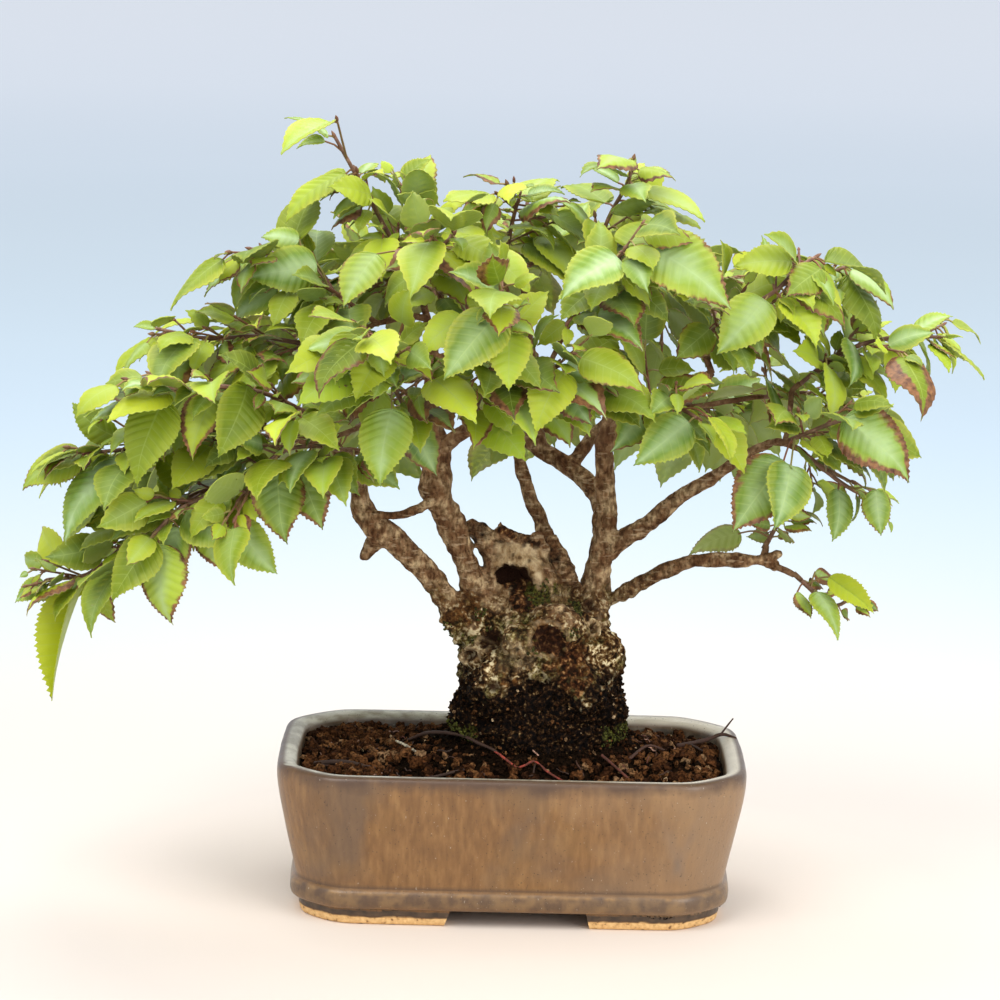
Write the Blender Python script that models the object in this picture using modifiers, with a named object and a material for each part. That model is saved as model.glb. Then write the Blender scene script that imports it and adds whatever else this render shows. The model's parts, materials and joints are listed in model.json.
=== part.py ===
"""Korean hornbeam bonsai in a glazed stoneware pot.

The tables below are in millimetres, from the middle of the pot's foot: +X to the right of the
front view, +Y to the rear, +Z up. Meshes are made in metres. At the end the whole model is
shifted so that the origin lies under the middle of its bounding box.
"""
import math
import random
from itertools import product

import bmesh
import bpy
from mathutils import Quaternion, Vector, noise
from mathutils.bvhtree import BVHTree

MM = 0.001
SEED = 7
UP = Vector((0, 0, 1))
FIT = 0.3

# Pot: the rim's outline and the height drive the rest
POT_HALF_WIDTH = 100.0
POT_HALF_DEPTH = 61.0
POT_HEIGHT = 66.0
CORNER_CUT_X = 25.0
CORNER_CUT_Y = 22.0
CORNER_SOFT = 5.0
SIDE_BOW = 1.6
FOOT_HEIGHT = 7.3
FLOOR_TOP = 13.0
FLOOR_INSET = 16.0
# Each step of the pot's wall: height, and how far it lies inside the rim's outline
POT_OUTSIDE = [(0.0, 10.2), (FOOT_HEIGHT - 0.3, 9.5), (FOOT_HEIGHT + 0.4, 7.1), (11.0, 6.0),
               (16.8, 7.9), (46.0, 2.1), (60.0, 0.0), (POT_HEIGHT, 1.2)]
POT_INSIDE = [(POT_HEIGHT, 6.0), (64.2, 8.2), (FLOOR_TOP + 1.0, 15.4),
              (FLOOR_TOP, FLOOR_INSET + 1.0)]
FOOT_RING_INSET = 19.0
# The gap between the front feet, at the belt and at the ground
FRONT_GAP_TOP = (-24.5, 32.5)
FRONT_GAP_BOTTOM = (-27.5, 34.5)
SIDE_GAP_TOP = (-13.0, 13.0)
SIDE_GAP_BOTTOM = (-15.0, 15.0)
DRAIN_RADIUS = 7.0
DRAIN_X = 46.0

# Drain nets under the soil
NET_HALF = 11.0
NET_THICKNESS = 1.2
NET_HOLES = 2
NET_HOLE_HALF = 3.2

# Soil
SOIL_EDGE = 60.5
SOIL_MOUND = 13.0
SOIL_WALL_GAP = 0.5
STUMP_X = 11.5
STUMP_Y = -2.0
STUMP_HALF_WIDTH = 37.0
STUMP_HALF_DEPTH = 30.5
STUMP_BOTTOM = 52.0
STUMP_TOP = 84.0
STUMP_HOLE_GAP = 2.0

# Leaves and twigs
BLADE_THICKNESS = 0.6
BLADE_CLEAR = 0.4
PETIOLE_HALF_WIDTH = 0.45
PETIOLE_LENGTH = 3.5
PETIOLE_SPACING = 2.5
LEAF_WIDTH_RATIO = 0.68
TWIG_RADII = (1.3, 0.95)
SIDE_TWIG_RADII = (0.95, 0.85)
ROOT_SINK = 1.0
ROOT_OFFSET = 0.12
BRANCH_END_RADIUS = 1.3
LEAVES_PER_SPRAY = 6
LEAST_FILL_LEAVES = 2
CORE_FACES = 1150
# Half a leaf's outline: share of its length, share of its greatest half width
LEADING_OUTLINE = [(0.12, 0.80), (0.40, 1.0), (0.47, 0.86), (0.70, 0.66)]
FILL_OUTLINE = [(0.10, 0.74), (0.42, 1.0), (0.50, 0.80)]
# Sprays that carry no more than their leading leaves
SPARSE_SPRAYS = ("right_low", "right_low_up")
# The crown is close to half an ellipsoid: its middle and half axes
CROWN_MIDDLE = Vector((-5, 0, 170))
CROWN_HALF = Vector((205, 110, 150))

# Round masses of the stump: middle and half axes
STUMP_MASSES = [((11.5, -2, 92), (35.5, 29, 46)), ((38, -4, 106), (11, 14, 15)),
                ((-11, -5, 110), (13, 14, 14)), ((36, -6, 83), (13, 16, 14)),
                ((-15, -9, 82), (13, 14, 13)), ((8, -22, 78), (18, 11, 16)),
                ((27, -21, 94), (13, 10, 14)), ((-7, -22, 96), (12, 10, 13)),
                ((3, -27, 118), (8, 6, 8)), ((18, -20, 122), (12, 9, 11)),
                ((9, 20, 86), (19, 12, 18)), ((27, 17, 104), (13, 11, 13)),
                ((-8, 16, 102), (12, 11, 13)), ((30, 2, 122), (13, 13, 12)),
                ((-8, -1, 124), (12, 12, 12))]
# Hollows of the stump: middle, reach and depth
HOLLOWS = [((-1, -15, 143), 8.0, 6.0), ((-6, -29, 117), 6.0, 3.5), ((16, -31, 120), 8.0, 2.0),
           ((-19, -20, 109), 3.5, 2.0), ((24, -6, 136), 7.0, 4.0), ((10, -32, 100), 7.0, 3.0)]
# Heavy wood: routes of x, y, z and radius
LIMBS = {
    "dead_stub": [(13, 0, 116, 17), (8, -1, 134, 15), (1, -2, 148, 11.5), (-2, -2, 156, 8)],
    "dead_arm": [(-3, -2, 148, 7), (-13, -1, 156, 4.6), (-21, 0, 163, 3.2)],
    "dead_peg": [(4, -3, 146, 6), (8, -5, 155, 3.6), (9, -6, 160, 2.6)],
    "left_low": [(-12, -5, 110, 9), (-24, -8, 122, 6.6), (-29, -10, 132, 5.4),
                 (-39, -12, 145, 5.0), (-51, -14, 157, 5.2), (-60, -16, 164, 6.0),
                 (-66, -16, 173, 4.6), (-67, -18, 183, 3.6), (-72, -20, 195, 3.0)],
    "left_low_stub": [(-58, -14, 160, 4), (-62, -12, 154, 3.2), (-65, -10, 149, 2.4)],
    "left_main": [(-2, -2, 116, 10), (-14, -5, 130, 7), (-19, -8, 142, 5.4), (-23, -8, 151, 4.9),
                  (-28, -8, 161, 4.7), (-32, -8, 171, 5.0), (-35, -8, 180, 7.6),
                  (-34, -6, 190, 5.4), (-33, -4, 199, 4.6)],
    "left_main_stub": [(-33, -4, 197, 4), (-39, -5, 200, 3.4), (-45, -6, 201, 2.6)],
    "middle": [(17, 8, 128, 7), (18, 14, 144, 4.2), (13, 16, 154, 3.6), (10, 18, 162, 3.2),
               (5, 20, 172, 3.0), (2, 22, 183, 2.9)],
    "right_main": [(33, 4, 118, 10), (34, 6, 132, 7.4), (35, 6, 142, 5.6), (37, 6, 154, 4.8),
                   (38, 6, 167, 4.6), (37, 6, 182, 4.2), (36, 6, 200, 3.8)],
    "right_high": [(36, 6, 149, 5), (44, 4, 156, 4.2), (52, 1, 162, 3.9), (60, -3, 169, 3.6),
                   (66, -6, 176, 3.4), (73, -8, 181, 3.2), (82, -10, 187, 2.9)],
    "right_low": [(30, 4, 114, 7), (39, 4, 127, 3.6), (49, 0, 136, 3.0), (59, -4, 143, 2.9),
                  (72, -6, 149, 3.1), (85, -8, 151, 3.2), (96, -8, 151, 2.9), (104, -8, 152, 2.6)],
    "rear": [(36, 8, 146, 5.6), (38, 22, 158, 4.8), (34, 38, 171, 4.4), (21, 48, 181, 4.1),
             (8, 52, 188, 3.8)],
}
# Lighter wood, joined on as plain tapered tubes
BRANCHES = {
    "left_low_tip": [(-71, -20, 192, 3.0), (-82, -24, 203, 2.4), (-94, -28, 205, 2.0)],
    "left_loop": [(-33, -12, 177, 2.4), (-46, -21, 171, 2.1), (-60, -21, 170, 2.0),
                  (-68, -17, 174, 1.8)],
    "left_main_up": [(-33, -4, 196, 3.4), (-38, -4, 220, 2.8), (-37, 0, 236, 2.4), (-40, 4, 250, 2.0)],
    "left_main_front": [(-33, -4, 196, 3.6), (-21, -14, 206, 3.0), (-6, -27, 212, 2.5),
                        (2, -36, 218, 2.0)],
    "middle_up": [(2, 22, 180, 2.8), (-1, 24, 200, 2.5), (-4, 22, 224, 2.2), (-2, 18, 244, 1.9)],
    "right_main_up": [(36, 6, 197, 3.4), (40, 8, 220, 2.8), (39, 8, 238, 2.3), (36, 6, 252, 2.0)],
    "right_main_side": [(36, 6, 193, 3.2), (43, 1, 208, 2.8), (55, -5, 217, 2.5),
                        (70, -10, 224, 2.1), (80, -12, 232, 1.8)],
    "right_high_tip": [(80, -10, 185, 2.7), (94, -14, 197, 2.2), (106, -18, 204, 1.8)],
    "right_low_stub": [(100, -8, 151.5, 2.4), (106, -9, 153, 2.2), (112, -9, 155, 1.8)],
    "right_low_tip": [(100, -8, 151.5, 2.4), (106, -8.5, 151, 2.2), (111, -9.5, 149, 2.0)],
    "rear_left": [(10, 51, 187, 3.2), (-14, 58, 199, 2.6), (-40, 56, 210, 2.0)],
    "rear_right": [(23, 47, 180, 3.2), (36, 54, 197, 2.6), (52, 50, 208, 2.0)],
    "rear_up": [(10, 51, 187, 3.2), (6, 52, 210, 2.5), (4, 46, 236, 2.0)],
}

# Leafy sprays: the route of the main twig, then its leading leaves as base and tip
SPRAYS = [
    ("left_tip_high", [(-108, -22, 206), (-133, -30, 205), (-157, -36, 199), (-179, -36, 196)],
     [((-180, -36, 196), (-206, -34, 182)), ((-164, -44, 196), (-188, -56, 163)),
      ((-166, -36, 203), (-186, -30, 216))]),
    ("left_tip_low", [(-119, -14, 183), (-144, -20, 172), (-166, -26, 154), (-180, -28, 143),
                      (-196, -26, 140)],
     [((-179, -30, 142), (-193, -36, 92)), ((-197, -26, 139), (-210, -24, 130)),
      ((-174, -30, 150), (-196, -30, 151))]),
    ("left_front_low", [(-96, -38, 188), (-121, -50, 184), (-139, -58, 177), (-148, -60, 168)],
     [((-139, -60, 177), (-117, -72, 167)), ((-149, -60, 169), (-165, -66, 143)),
      ((-147, -60, 163), (-143, -66, 130)), ((-139, -58, 170), (-130, -66, 145)),
      ((-131, -54, 181), (-128, -60, 155))]),
    ("left_front", [(-83, -40, 213), (-105, -56, 226), (-130, -60, 229), (-151, -56, 225)],
     [((-145, -60, 223), (-156, -70, 189)), ((-111, -62, 230), (-121, -78, 203)),
      ((-124, -60, 228), (-133, -70, 204)), ((-150, -56, 225), (-172, -58, 214))]),
    ("left_upper", [(-80, -10, 238), (-109, -14, 243), (-132, -14, 242), (-151, -12, 245)],
     [((-151, -12, 245), (-160, -12, 246)), ((-132, -16, 242), (-154, -22, 227)),
      ((-113, -20, 240), (-130, -34, 221))]),
    ("left_hanging", [(-69, -34, 199), (-86, -48, 203), (-100, -56, 200), (-114, -58, 182)],
     [((-102, -58, 199), (-105, -70, 168)), ((-90, -54, 202), (-79, -64, 175)),
      ((-115, -58, 173), (-98, -62, 152))]),
    ("left_high", [(-64, -4, 251), (-84, -6, 265), (-101, -6, 276), (-114, -6, 279)],
     [((-112, -6, 279), (-131, -10, 262)), ((-86, -12, 274), (-115, -18, 269)),
      ((-94, -4, 283), (-110, -4, 285))]),
    ("leader", [(-46, 6, 266), (-59, 6, 289), (-71, 4, 310), (-80, 2, 326)],
     [((-80, 2, 326), (-98, -4, 334)), ((-84, 2, 324), (-96, 0, 321)),
      ((-75, 4, 311), (-101, -2, 293)), ((-64, 2, 300), (-85, -2, 304))]),
    ("front_left", [(-47, -46, 219), (-54, -66, 236), (-59, -76, 252), (-67, -80, 259)],
     [((-55, -76, 248), (-66, -92, 230)), ((-52, -70, 223), (-56, -84, 194)),
      ((-63, -78, 256), (-76, -88, 240)), ((-51, -68, 232), (-41, -80, 240))]),
    ("front_middle", [(-18, -50, 221), (-11, -72, 244), (-7, -84, 263), (-9, -84, 274)],
     [((-7, -86, 267), (-28, -100, 242)), ((-5, -86, 257), (-5, -100, 236)),
      ((-12, -74, 242), (-21, -84, 258))]),
    ("front_middle_low", [(6, -42, 224), (12, -62, 237), (15, -72, 244)],
     [((17, -74, 240), (6, -88, 218)), ((14, -66, 236), (28, -78, 219)),
      ((11, -62, 236), (-2, -72, 220))]),
    ("top_left", [(-39, 0, 272), (-42, -4, 290), (-47, -6, 307)],
     [((-51, -6, 309), (-40, -6, 319)), ((-47, -6, 307), (-60, -16, 300)),
      ((-42, -6, 291), (-23, -12, 302))]),
    ("top_front_left", [(-34, -34, 266), (-36, -48, 282), (-29, -54, 292)],
     [((-60, -40, 282), (-73, -52, 261)), ((-34, -54, 281), (-22, -70, 275)),
      ((-29, -54, 291), (-12, -66, 283)), ((-36, -50, 282), (-51, -62, 279))]),
    ("top_middle", [(-8, 4, 275), (-5, 0, 292), (-2, -4, 304)],
     [((-2, -4, 304), (13, -6, 307)), ((-5, -2, 292), (-23, -8, 296)),
      ((-5, -4, 291), (10, -16, 289))]),
    ("top_right", [(31, 0, 279), (35, -6, 295), (42, -8, 309), (44, -8, 315)],
     [((45, -8, 316), (58, -8, 317)), ((42, -10, 309), (31, -8, 315)),
      ((36, -10, 298), (54, -14, 304))]),
    ("front_high", [(21, -44, 258), (31, -60, 275), (40, -68, 289)],
     [((39, -68, 290), (16, -84, 276)), ((41, -68, 288), (27, -84, 267)),
      ((48, -62, 291), (83, -78, 270)), ((31, -64, 274), (15, -76, 261))]),
    ("front_right", [(53, -34, 222), (64, -50, 223), (72, -58, 220)],
     [((72, -60, 221), (50, -70, 205)), ((73, -60, 219), (83, -70, 204)),
      ((64, -54, 224), (72, -62, 240))]),
    ("right_upper", [(74, -20, 247), (89, -32, 260), (103, -38, 270), (113, -36, 280),
                     (120, -32, 284)],
     [((101, -40, 268), (81, -54, 247)), ((106, -40, 267), (121, -50, 249)),
      ((110, -36, 282), (86, -40, 281)), ((121, -34, 278), (100, -44, 277))]),
    ("right_high", [(93, 4, 254), (115, 0, 267), (135, -4, 277)],
     [((136, -4, 276), (153, -8, 249)), ((125, -2, 273), (137, -10, 264)),
      ((100, 2, 261), (100, 4, 287))]),
    ("right_tip", [(118, -4, 227), (134, -8, 241), (153, -10, 248), (174, -10, 249)],
     [((137, -12, 247), (145, -20, 227)), ((161, -10, 248), (177, -8, 256)),
      ((168, -10, 248), (180, -14, 242)), ((174, -10, 249), (193, -14, 235)),
      ((154, -12, 245), (158, -16, 226))]),
    ("right_middle", [(112, -30, 207), (128, -40, 216), (141, -40, 220)],
     [((134, -42, 220), (162, -50, 196)), ((109, -44, 201), (88, -58, 173)),
      ((112, -44, 199), (118, -56, 171)), ((128, -42, 215), (136, -52, 198))]),
    ("right_tip_low", [(121, -12, 198), (136, -16, 187), (150, -18, 180)],
     [((150, -18, 185), (153, -22, 166)), ((154, -18, 184), (163, -20, 168)),
      ((136, -18, 187), (134, -26, 166))]),
    ("right_low", [(121, -12, 144), (128, -14, 138), (135, -16, 134), (144, -16, 139)],
     [((132, -18, 147), (152, -22, 133)), ((127, -20, 141), (138, -27, 121)),
      ((119, -17, 140), (125, -22, 130)), ((127, -8, 147), (137, -7, 141))]),
    ("right_low_up", [(107, -6, 160), (110, -7, 166), (114, -9, 171), (118.5, -10, 175)],
     [((96, 8, 160), (74, 9, 150)), ((107, -11, 167), (97, -13, 168)),
      ((114, -13, 174), (124, -16, 172)), ((113, -12, 167), (124, -16, 167)),
      ((107, -1, 162), (99, 4, 155))]),
    ("rear_left_low", [(-95, 40, 190), (-125, 55, 190), (-152, 62, 178)], []),
    ("rear_left", [(-70, 50, 225), (-95, 75, 232), (-118, 92, 222)], []),
    ("rear_left_hanging", [(-50, 60, 200), (-66, 88, 196), (-76, 108, 180)], []),
    ("rear_middle_low", [(0, 62, 205), (5, 92, 206), (8, 112, 192)], []),
    ("rear_right_hanging", [(60, 56, 205), (80, 82, 204), (92, 102, 190)], []),
    ("rear_right", [(105, 35, 215), (132, 52, 214), (155, 60, 200)], []),
    ("rear_high_left", [(-40, 40, 258), (-62, 66, 264), (-82, 84, 256)], []),
    ("rear_high_middle", [(0, 40, 268), (2, 68, 276), (4, 90, 266)], []),
    ("rear_high_right", [(50, 38, 262), (74, 62, 262), (96, 76, 250)], []),
]


def clear_scene():
    for item in list(bpy.data.objects):
        bpy.data.objects.remove(item)


def collection(name):
    group = bpy.data.collections.new(name)
    bpy.context.scene.collection.children.link(group)
    return group


def material(name, color, roughness, metallic=0.0):
    made = bpy.data.materials.new(name)
    made.use_nodes = True
    shader = made.node_tree.nodes["Principled BSDF"]
    shader.inputs["Base Color"].default_value = (*color, 1.0)
    shader.inputs["Roughness"].default_value = roughness
    shader.inputs["Metallic"].default_value = metallic
    return made


def add_object(name, mesh, group, look=None):
    item = bpy.data.objects.new(name, mesh)
    group.objects.link(item)
    if look:
        mesh.materials.clear()
        mesh.materials.append(look)
    return item


def mesh_from_bmesh(name, shape):
    bmesh.ops.recalc_face_normals(shape, faces=shape.faces)
    mesh = bpy.data.meshes.new(name)
    shape.to_mesh(mesh)
    shape.free()
    return mesh


def apply_modifiers(item):
    depsgraph = bpy.context.evaluated_depsgraph_get()
    mesh = bpy.data.meshes.new_from_object(item.evaluated_get(depsgraph))
    item.modifiers.clear()
    item.data = mesh


def remove_all(items):
    for item in list(items):
        bpy.data.objects.remove(item)


def boolean(target, operation, other=None, group=None):
    change = target.modifiers.new(operation.lower(), 'BOOLEAN')
    change.operation = operation
    if group:
        change.operand_type = 'COLLECTION'
        change.collection = group
    else:
        change.object = other
    return change


def loft(name, rings):
    """A closed solid through rings of equally many points, in millimetres."""
    shape = bmesh.new()
    loops = [[shape.verts.new(Vector(point) * MM) for point in ring] for ring in rings]
    for lower, upper in zip(loops, loops[1:]):
        for i in range(len(lower)):
            j = (i + 1) % len(lower)
            shape.faces.new((lower[i], lower[j], upper[j], upper[i]))
    shape.faces.new(loops[0])
    shape.faces.new(loops[-1])
    return mesh_from_bmesh(name, shape)


def tube(name, route, radii, group, resolution=0):
    """A tapered tube with flat ends, as a closed mesh object."""
    curve = bpy.data.curves.new(name, 'CURVE')
    curve.dimensions = '3D'
    curve.bevel_depth = MM
    curve.bevel_resolution = resolution
    curve.use_fill_caps = True
    spline = curve.splines.new('POLY')
    spline.points.add(len(route) - 1)
    for point, place, radius in zip(spline.points, route, radii):
        point.co = (*(Vector(place) * MM), 1.0)
        point.radius = radius
    guide = add_object(name + "_route", curve, group)
    bpy.context.view_layer.update()
    depsgraph = bpy.context.evaluated_depsgraph_get()
    mesh = bpy.data.meshes.new_from_object(guide.evaluated_get(depsgraph))
    shape = bmesh.new()
    shape.from_mesh(mesh)
    bmesh.ops.remove_doubles(shape, verts=shape.verts, dist=1e-6)
    bpy.data.objects.remove(guide)
    return add_object(name, mesh_from_bmesh(name, shape), group)


# Pot

def pot_ring(height, inset):
    """The pot's outline: a rectangle with softly cut corners and slightly bowed sides."""
    half_x = POT_HALF_WIDTH - inset
    half_y = POT_HALF_DEPTH - inset
    cut_x = CORNER_CUT_X - 0.5 * inset
    cut_y = CORNER_CUT_Y - 0.5 * inset
    corner = [(half_x, 0), (half_x - 0.35 * SIDE_BOW, half_y - cut_y - CORNER_SOFT),
              (half_x - 0.22 * CORNER_SOFT - SIDE_BOW * 0.5, half_y - cut_y + 0.6 * CORNER_SOFT),
              (half_x - cut_x + 0.7 * CORNER_SOFT, half_y - 0.12 * CORNER_SOFT - 0.5),
              (half_x - cut_x - CORNER_SOFT, half_y - 0.3)]
    quarter = corner + [(0, half_y)]
    right_rear = quarter
    left_rear = [(-x, y) for x, y in reversed(quarter[:-1])]
    left_front = [(-x, -y) for x, y in quarter[1:]]
    right_front = [(x, -y) for x, y in reversed(quarter[1:-1])]
    outline = right_rear + left_rear + left_front + right_front
    return [(x, y, height) for x, y in outline]


def gap_cutter(name, top, bottom, reach, along_x, group):
    """A wedge-ended block that opens the foot ring between two feet."""
    rings = []
    for side in (-reach, reach):
        section = [(bottom[0], -1.0), (bottom[1], -1.0), (top[1], FOOT_HEIGHT - 0.2),
                   (top[0], FOOT_HEIGHT - 0.2)]
        if along_x:
            rings.append([(side, across, height) for across, height in section])
        else:
            rings.append([(across, side, height) for across, height in section])
    return add_object(name, loft(name, rings), group)


def drain_cutter(name, x, group):
    shape = bmesh.new()
    bmesh.ops.create_cone(shape, cap_ends=True, segments=12, radius1=DRAIN_RADIUS * MM,
                          radius2=DRAIN_RADIUS * MM, depth=3 * FLOOR_TOP * MM)
    cutter = add_object(name, mesh_from_bmesh(name, shape), group)
    cutter.location = Vector((x, 0, FLOOR_TOP)) * MM
    return cutter


def make_pot(parts, cutters, look):
    rings = [pot_ring(FOOT_HEIGHT, FOOT_RING_INSET), pot_ring(0.0, FOOT_RING_INSET - 0.6)]
    rings += [pot_ring(height, inset) for height, inset in POT_OUTSIDE + POT_INSIDE]
    pot = add_object("pot", loft("pot", rings), parts, look)
    tools = [gap_cutter("front_gap", FRONT_GAP_TOP, FRONT_GAP_BOTTOM, 80, False, cutters),
             gap_cutter("side_gap", SIDE_GAP_TOP, SIDE_GAP_BOTTOM, 120, True, cutters),
             drain_cutter("left_drain", -DRAIN_X, cutters),
             drain_cutter("right_drain", DRAIN_X, cutters)]
    for tool in tools:
        tool.hide_render = True
        tool.display_type = 'WIRE'
        boolean(pot, 'DIFFERENCE', tool)
    return pot


def make_net(name, x, parts, look):
    """A square of plastic net: a plate with a grid of square holes."""
    shape = bmesh.new()
    pitch = 2 * NET_HALF / NET_HOLES
    lines = []
    for i in range(NET_HOLES):
        middle = -NET_HALF + (i + 0.5) * pitch
        lines += [middle - NET_HOLE_HALF, middle + NET_HOLE_HALF]
    lines = [-NET_HALF] + lines + [NET_HALF]
    low = FLOOR_TOP + FIT
    grid = [[shape.verts.new(Vector((x + a, b, low)) * MM) for a in lines] for b in lines]
    faces = []
    for row in range(len(lines) - 1):
        for column in range(len(lines) - 1):
            if row % 2 and column % 2:
                continue
            faces.append(shape.faces.new((grid[row][column], grid[row][column + 1],
                                          grid[row + 1][column + 1], grid[row + 1][column])))
    raised = bmesh.ops.extrude_face_region(shape, geom=faces)
    top = [item for item in raised["geom"] if isinstance(item, bmesh.types.BMVert)]
    bmesh.ops.translate(shape, verts=top, vec=UP * NET_THICKNESS * MM)
    return add_object(name, mesh_from_bmesh(name, shape), parts, look)


# Soil

def soil_height(x, y):
    """Height of the soil's surface: low at the rim, mounded to the trunk, a little uneven."""
    away = math.hypot((x - STUMP_X) / 85.0, (y - STUMP_Y) / 52.0)
    mound = SOIL_MOUND * max(0.0, 1.0 - away) ** 0.8
    uneven = 1.6 * noise.noise(Vector((x, y, 0)) / 22.0)
    return SOIL_EDGE + mound + uneven - 1.5 * max(0.0, x) / 100.0


def inner_inset(height):
    """How far the pot's inner wall lies inside the rim's outline at a height."""
    steps = sorted(POT_INSIDE[1:])
    for (low, low_inset), (high, high_inset) in zip(steps, steps[1:]):
        if low <= height <= high:
            share = (height - low) / (high - low)
            return low_inset + share * (high_inset - low_inset)
    return steps[-1][1]


def make_soil(parts, cutters, look):
    bottom = FLOOR_TOP + NET_THICKNESS + 2 * FIT
    rings = [pot_ring(height, inner_inset(height) + SOIL_WALL_GAP) for height in (bottom, 40.0)]
    edge = pot_ring(0.0, inner_inset(SOIL_EDGE) + SOIL_WALL_GAP)
    rings.append([(x, y, min(soil_height(x, y), 63.0)) for x, y, _ in edge])
    for share in (0.86, 0.7, 0.55):
        ring = [(STUMP_X + (x - STUMP_X) * share, STUMP_Y + (y - STUMP_Y) * share)
                for x, y, _ in edge]
        rings.append([(x, y, soil_height(x, y)) for x, y in ring])
    soil = add_object("soil", loft("soil", rings), parts, look)
    shape = bmesh.new()
    bmesh.ops.create_cone(shape, cap_ends=True, segments=20, radius1=MM, radius2=MM,
                          depth=40 * MM)
    hole = add_object("stump_hole", mesh_from_bmesh("stump_hole", shape), cutters)
    hole.scale = (STUMP_HALF_WIDTH + STUMP_HOLE_GAP, STUMP_HALF_DEPTH + STUMP_HOLE_GAP, 1)
    hole.location = Vector((STUMP_X, STUMP_Y, STUMP_BOTTOM - FIT + 20)) * MM
    hole.hide_render = True
    hole.display_type = 'WIRE'
    boolean(soil, 'DIFFERENCE', hole)
    return soil


# Foliage plan: twigs and leaves as plain data, in millimetres

def along(route, share):
    """The point and the direction at a share of a route's length."""
    steps = [(b - a).length for a, b in zip(route, route[1:])]
    left = share * sum(steps)
    for a, b, step in zip(route, route[1:], steps):
        if left <= step:
            return a.lerp(b, left / step), (b - a).normalized()
        left -= step
    return route[-1].copy(), (route[-1] - route[-2]).normalized()


def route_length(route):
    return sum((b - a).length for a, b in zip(route, route[1:]))


def nearest_on(route, place):
    """The point of a route nearest to a place, kept a little inside its two ends."""
    best = None
    ends = [route[0], route[-1]]
    ends[0] = route[0] + (route[1] - route[0]).normalized() * ROOT_SINK
    ends[1] = route[-1] + (route[-2] - route[-1]).normalized() * ROOT_SINK
    inner = [ends[0]] + route[1:-1] + [ends[1]]
    for a, b in zip(inner, inner[1:]):
        run = b - a
        share = max(0.0, min(1.0, (place - a).dot(run) / run.length_squared))
        point = a + run * share
        if best is None or (point - place).length < (best - place).length:
            best = point
    return best


def outward(place):
    """The direction away from the crown's middle, square to its ellipsoid."""
    rel = place - CROWN_MIDDLE
    return Vector([rel[i] / CROWN_HALF[i] ** 2 for i in range(3)]).normalized()


def tube_hull(route, radii, extra):
    """A four-sided hull round a tube, for clearance tests."""
    verts, faces = [], []
    for i, (place, radius) in enumerate(zip(route, radii)):
        ahead = (route[min(i + 1, len(route) - 1)] - route[max(i - 1, 0)]).normalized()
        side = ahead.cross(UP if abs(ahead.z) < 0.9 else Vector((1, 0, 0))).normalized()
        rise = side.cross(ahead)
        reach = (radius + extra) * 1.2
        verts += [place + side * reach, place + rise * reach, place - side * reach,
                  place - rise * reach]
        if i:
            for k in range(4):
                faces.append((4 * i - 4 + k, 4 * i - 4 + (k + 1) % 4, 4 * i + (k + 1) % 4,
                              4 * i + k))
    return verts, faces


def blade_rows(leaf):
    """Pairs of edge points from the petiole's root to the tip, and the tip itself."""
    root, base, tip, normal, half_width = (leaf["root"], leaf["base"], leaf["tip"],
                                           leaf["normal"], leaf["half_width"])
    length = (tip - base).length
    ahead = (tip - base).normalized()
    side = ahead.cross(normal).normalized()
    rows = [(root, side, PETIOLE_HALF_WIDTH)]
    for share, width in leaf["outline"]:
        lift = leaf["arch"] * length * 4 * share * (1 - share)
        rows.append((base + ahead * length * share + normal * lift, side,
                     max(width * half_width, PETIOLE_HALF_WIDTH)))
    pairs = [(place - across * width, place + across * width) for place, across, width in rows]
    return pairs, tip


def blade_solid(leaf, half_thickness, grow=0.0):
    """A thin arched prism on the leaf's outline; all its faces are flat."""
    pairs, tip = blade_rows(leaf)
    side = (pairs[-1][1] - pairs[-1][0]).normalized()
    lift = leaf["normal"] * half_thickness
    flat = []
    for left, right in pairs:
        flat += [left - side * grow, right + side * grow]
    flat.append(tip + (tip - leaf["base"]).normalized() * grow)
    count = len(flat)
    verts = [place + lift for place in flat] + [place - lift for place in flat]
    top = [(i, i + 1, i + 3, i + 2) for i in range(0, count - 3, 2)]
    top.append((count - 3, count - 2, count - 1))
    faces = top + [tuple(corner + count for corner in reversed(face)) for face in top]
    edge = list(range(0, count - 1, 2)) + [count - 1] + list(range(count - 2, 0, -2))
    faces += [(a, b, b + count, a + count) for a, b in zip(edge, edge[1:] + edge[:1])]
    return verts, faces


class Space:
    """What is already planned, so that new leaves and twigs keep clear of it."""

    def __init__(self):
        self.items = []

    @staticmethod
    def ball(verts):
        middle = sum(verts, Vector()) / len(verts)
        return middle, max((vert - middle).length for vert in verts)

    def add(self, owner, kind, verts, faces):
        middle, reach = self.ball(verts)
        tree = BVHTree.FromPolygons(verts, faces)
        self.items.append((owner, kind, middle, reach, tree))

    def clear(self, owner, verts, faces, ignore=()):
        """True where a shape crosses nothing, but for its owner's kinds named in ignore."""
        middle, reach = self.ball(verts)
        tree = BVHTree.FromPolygons(verts, faces)
        for other, kind, other_middle, other_reach, other_tree in self.items:
            if other == owner and kind in ignore:
                continue
            if (other_middle - middle).length > other_reach + reach:
                continue
            if tree.overlap(other_tree):
                return False
        return True


def make_leaf(root, base, tip, facing, leading):
    """A leaf as data. It is turned on its midrib so the petiole doesn't pierce the blade."""
    ahead = (tip - base).normalized()
    petiole = (base - root).normalized()
    normal = facing - petiole * facing.dot(petiole) * 0.7
    normal = (normal - ahead * normal.dot(ahead)).normalized()
    return {"root": root, "base": base, "tip": tip, "normal": normal, "arch": 0.07,
            "half_width": 0.5 * LEAF_WIDTH_RATIO * (tip - base).length,
            "outline": LEADING_OUTLINE if leading else FILL_OUTLINE, "leading": leading,
            "steepness": abs(normal.dot(petiole)), "doubling": -ahead.dot(petiole)}


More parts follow.
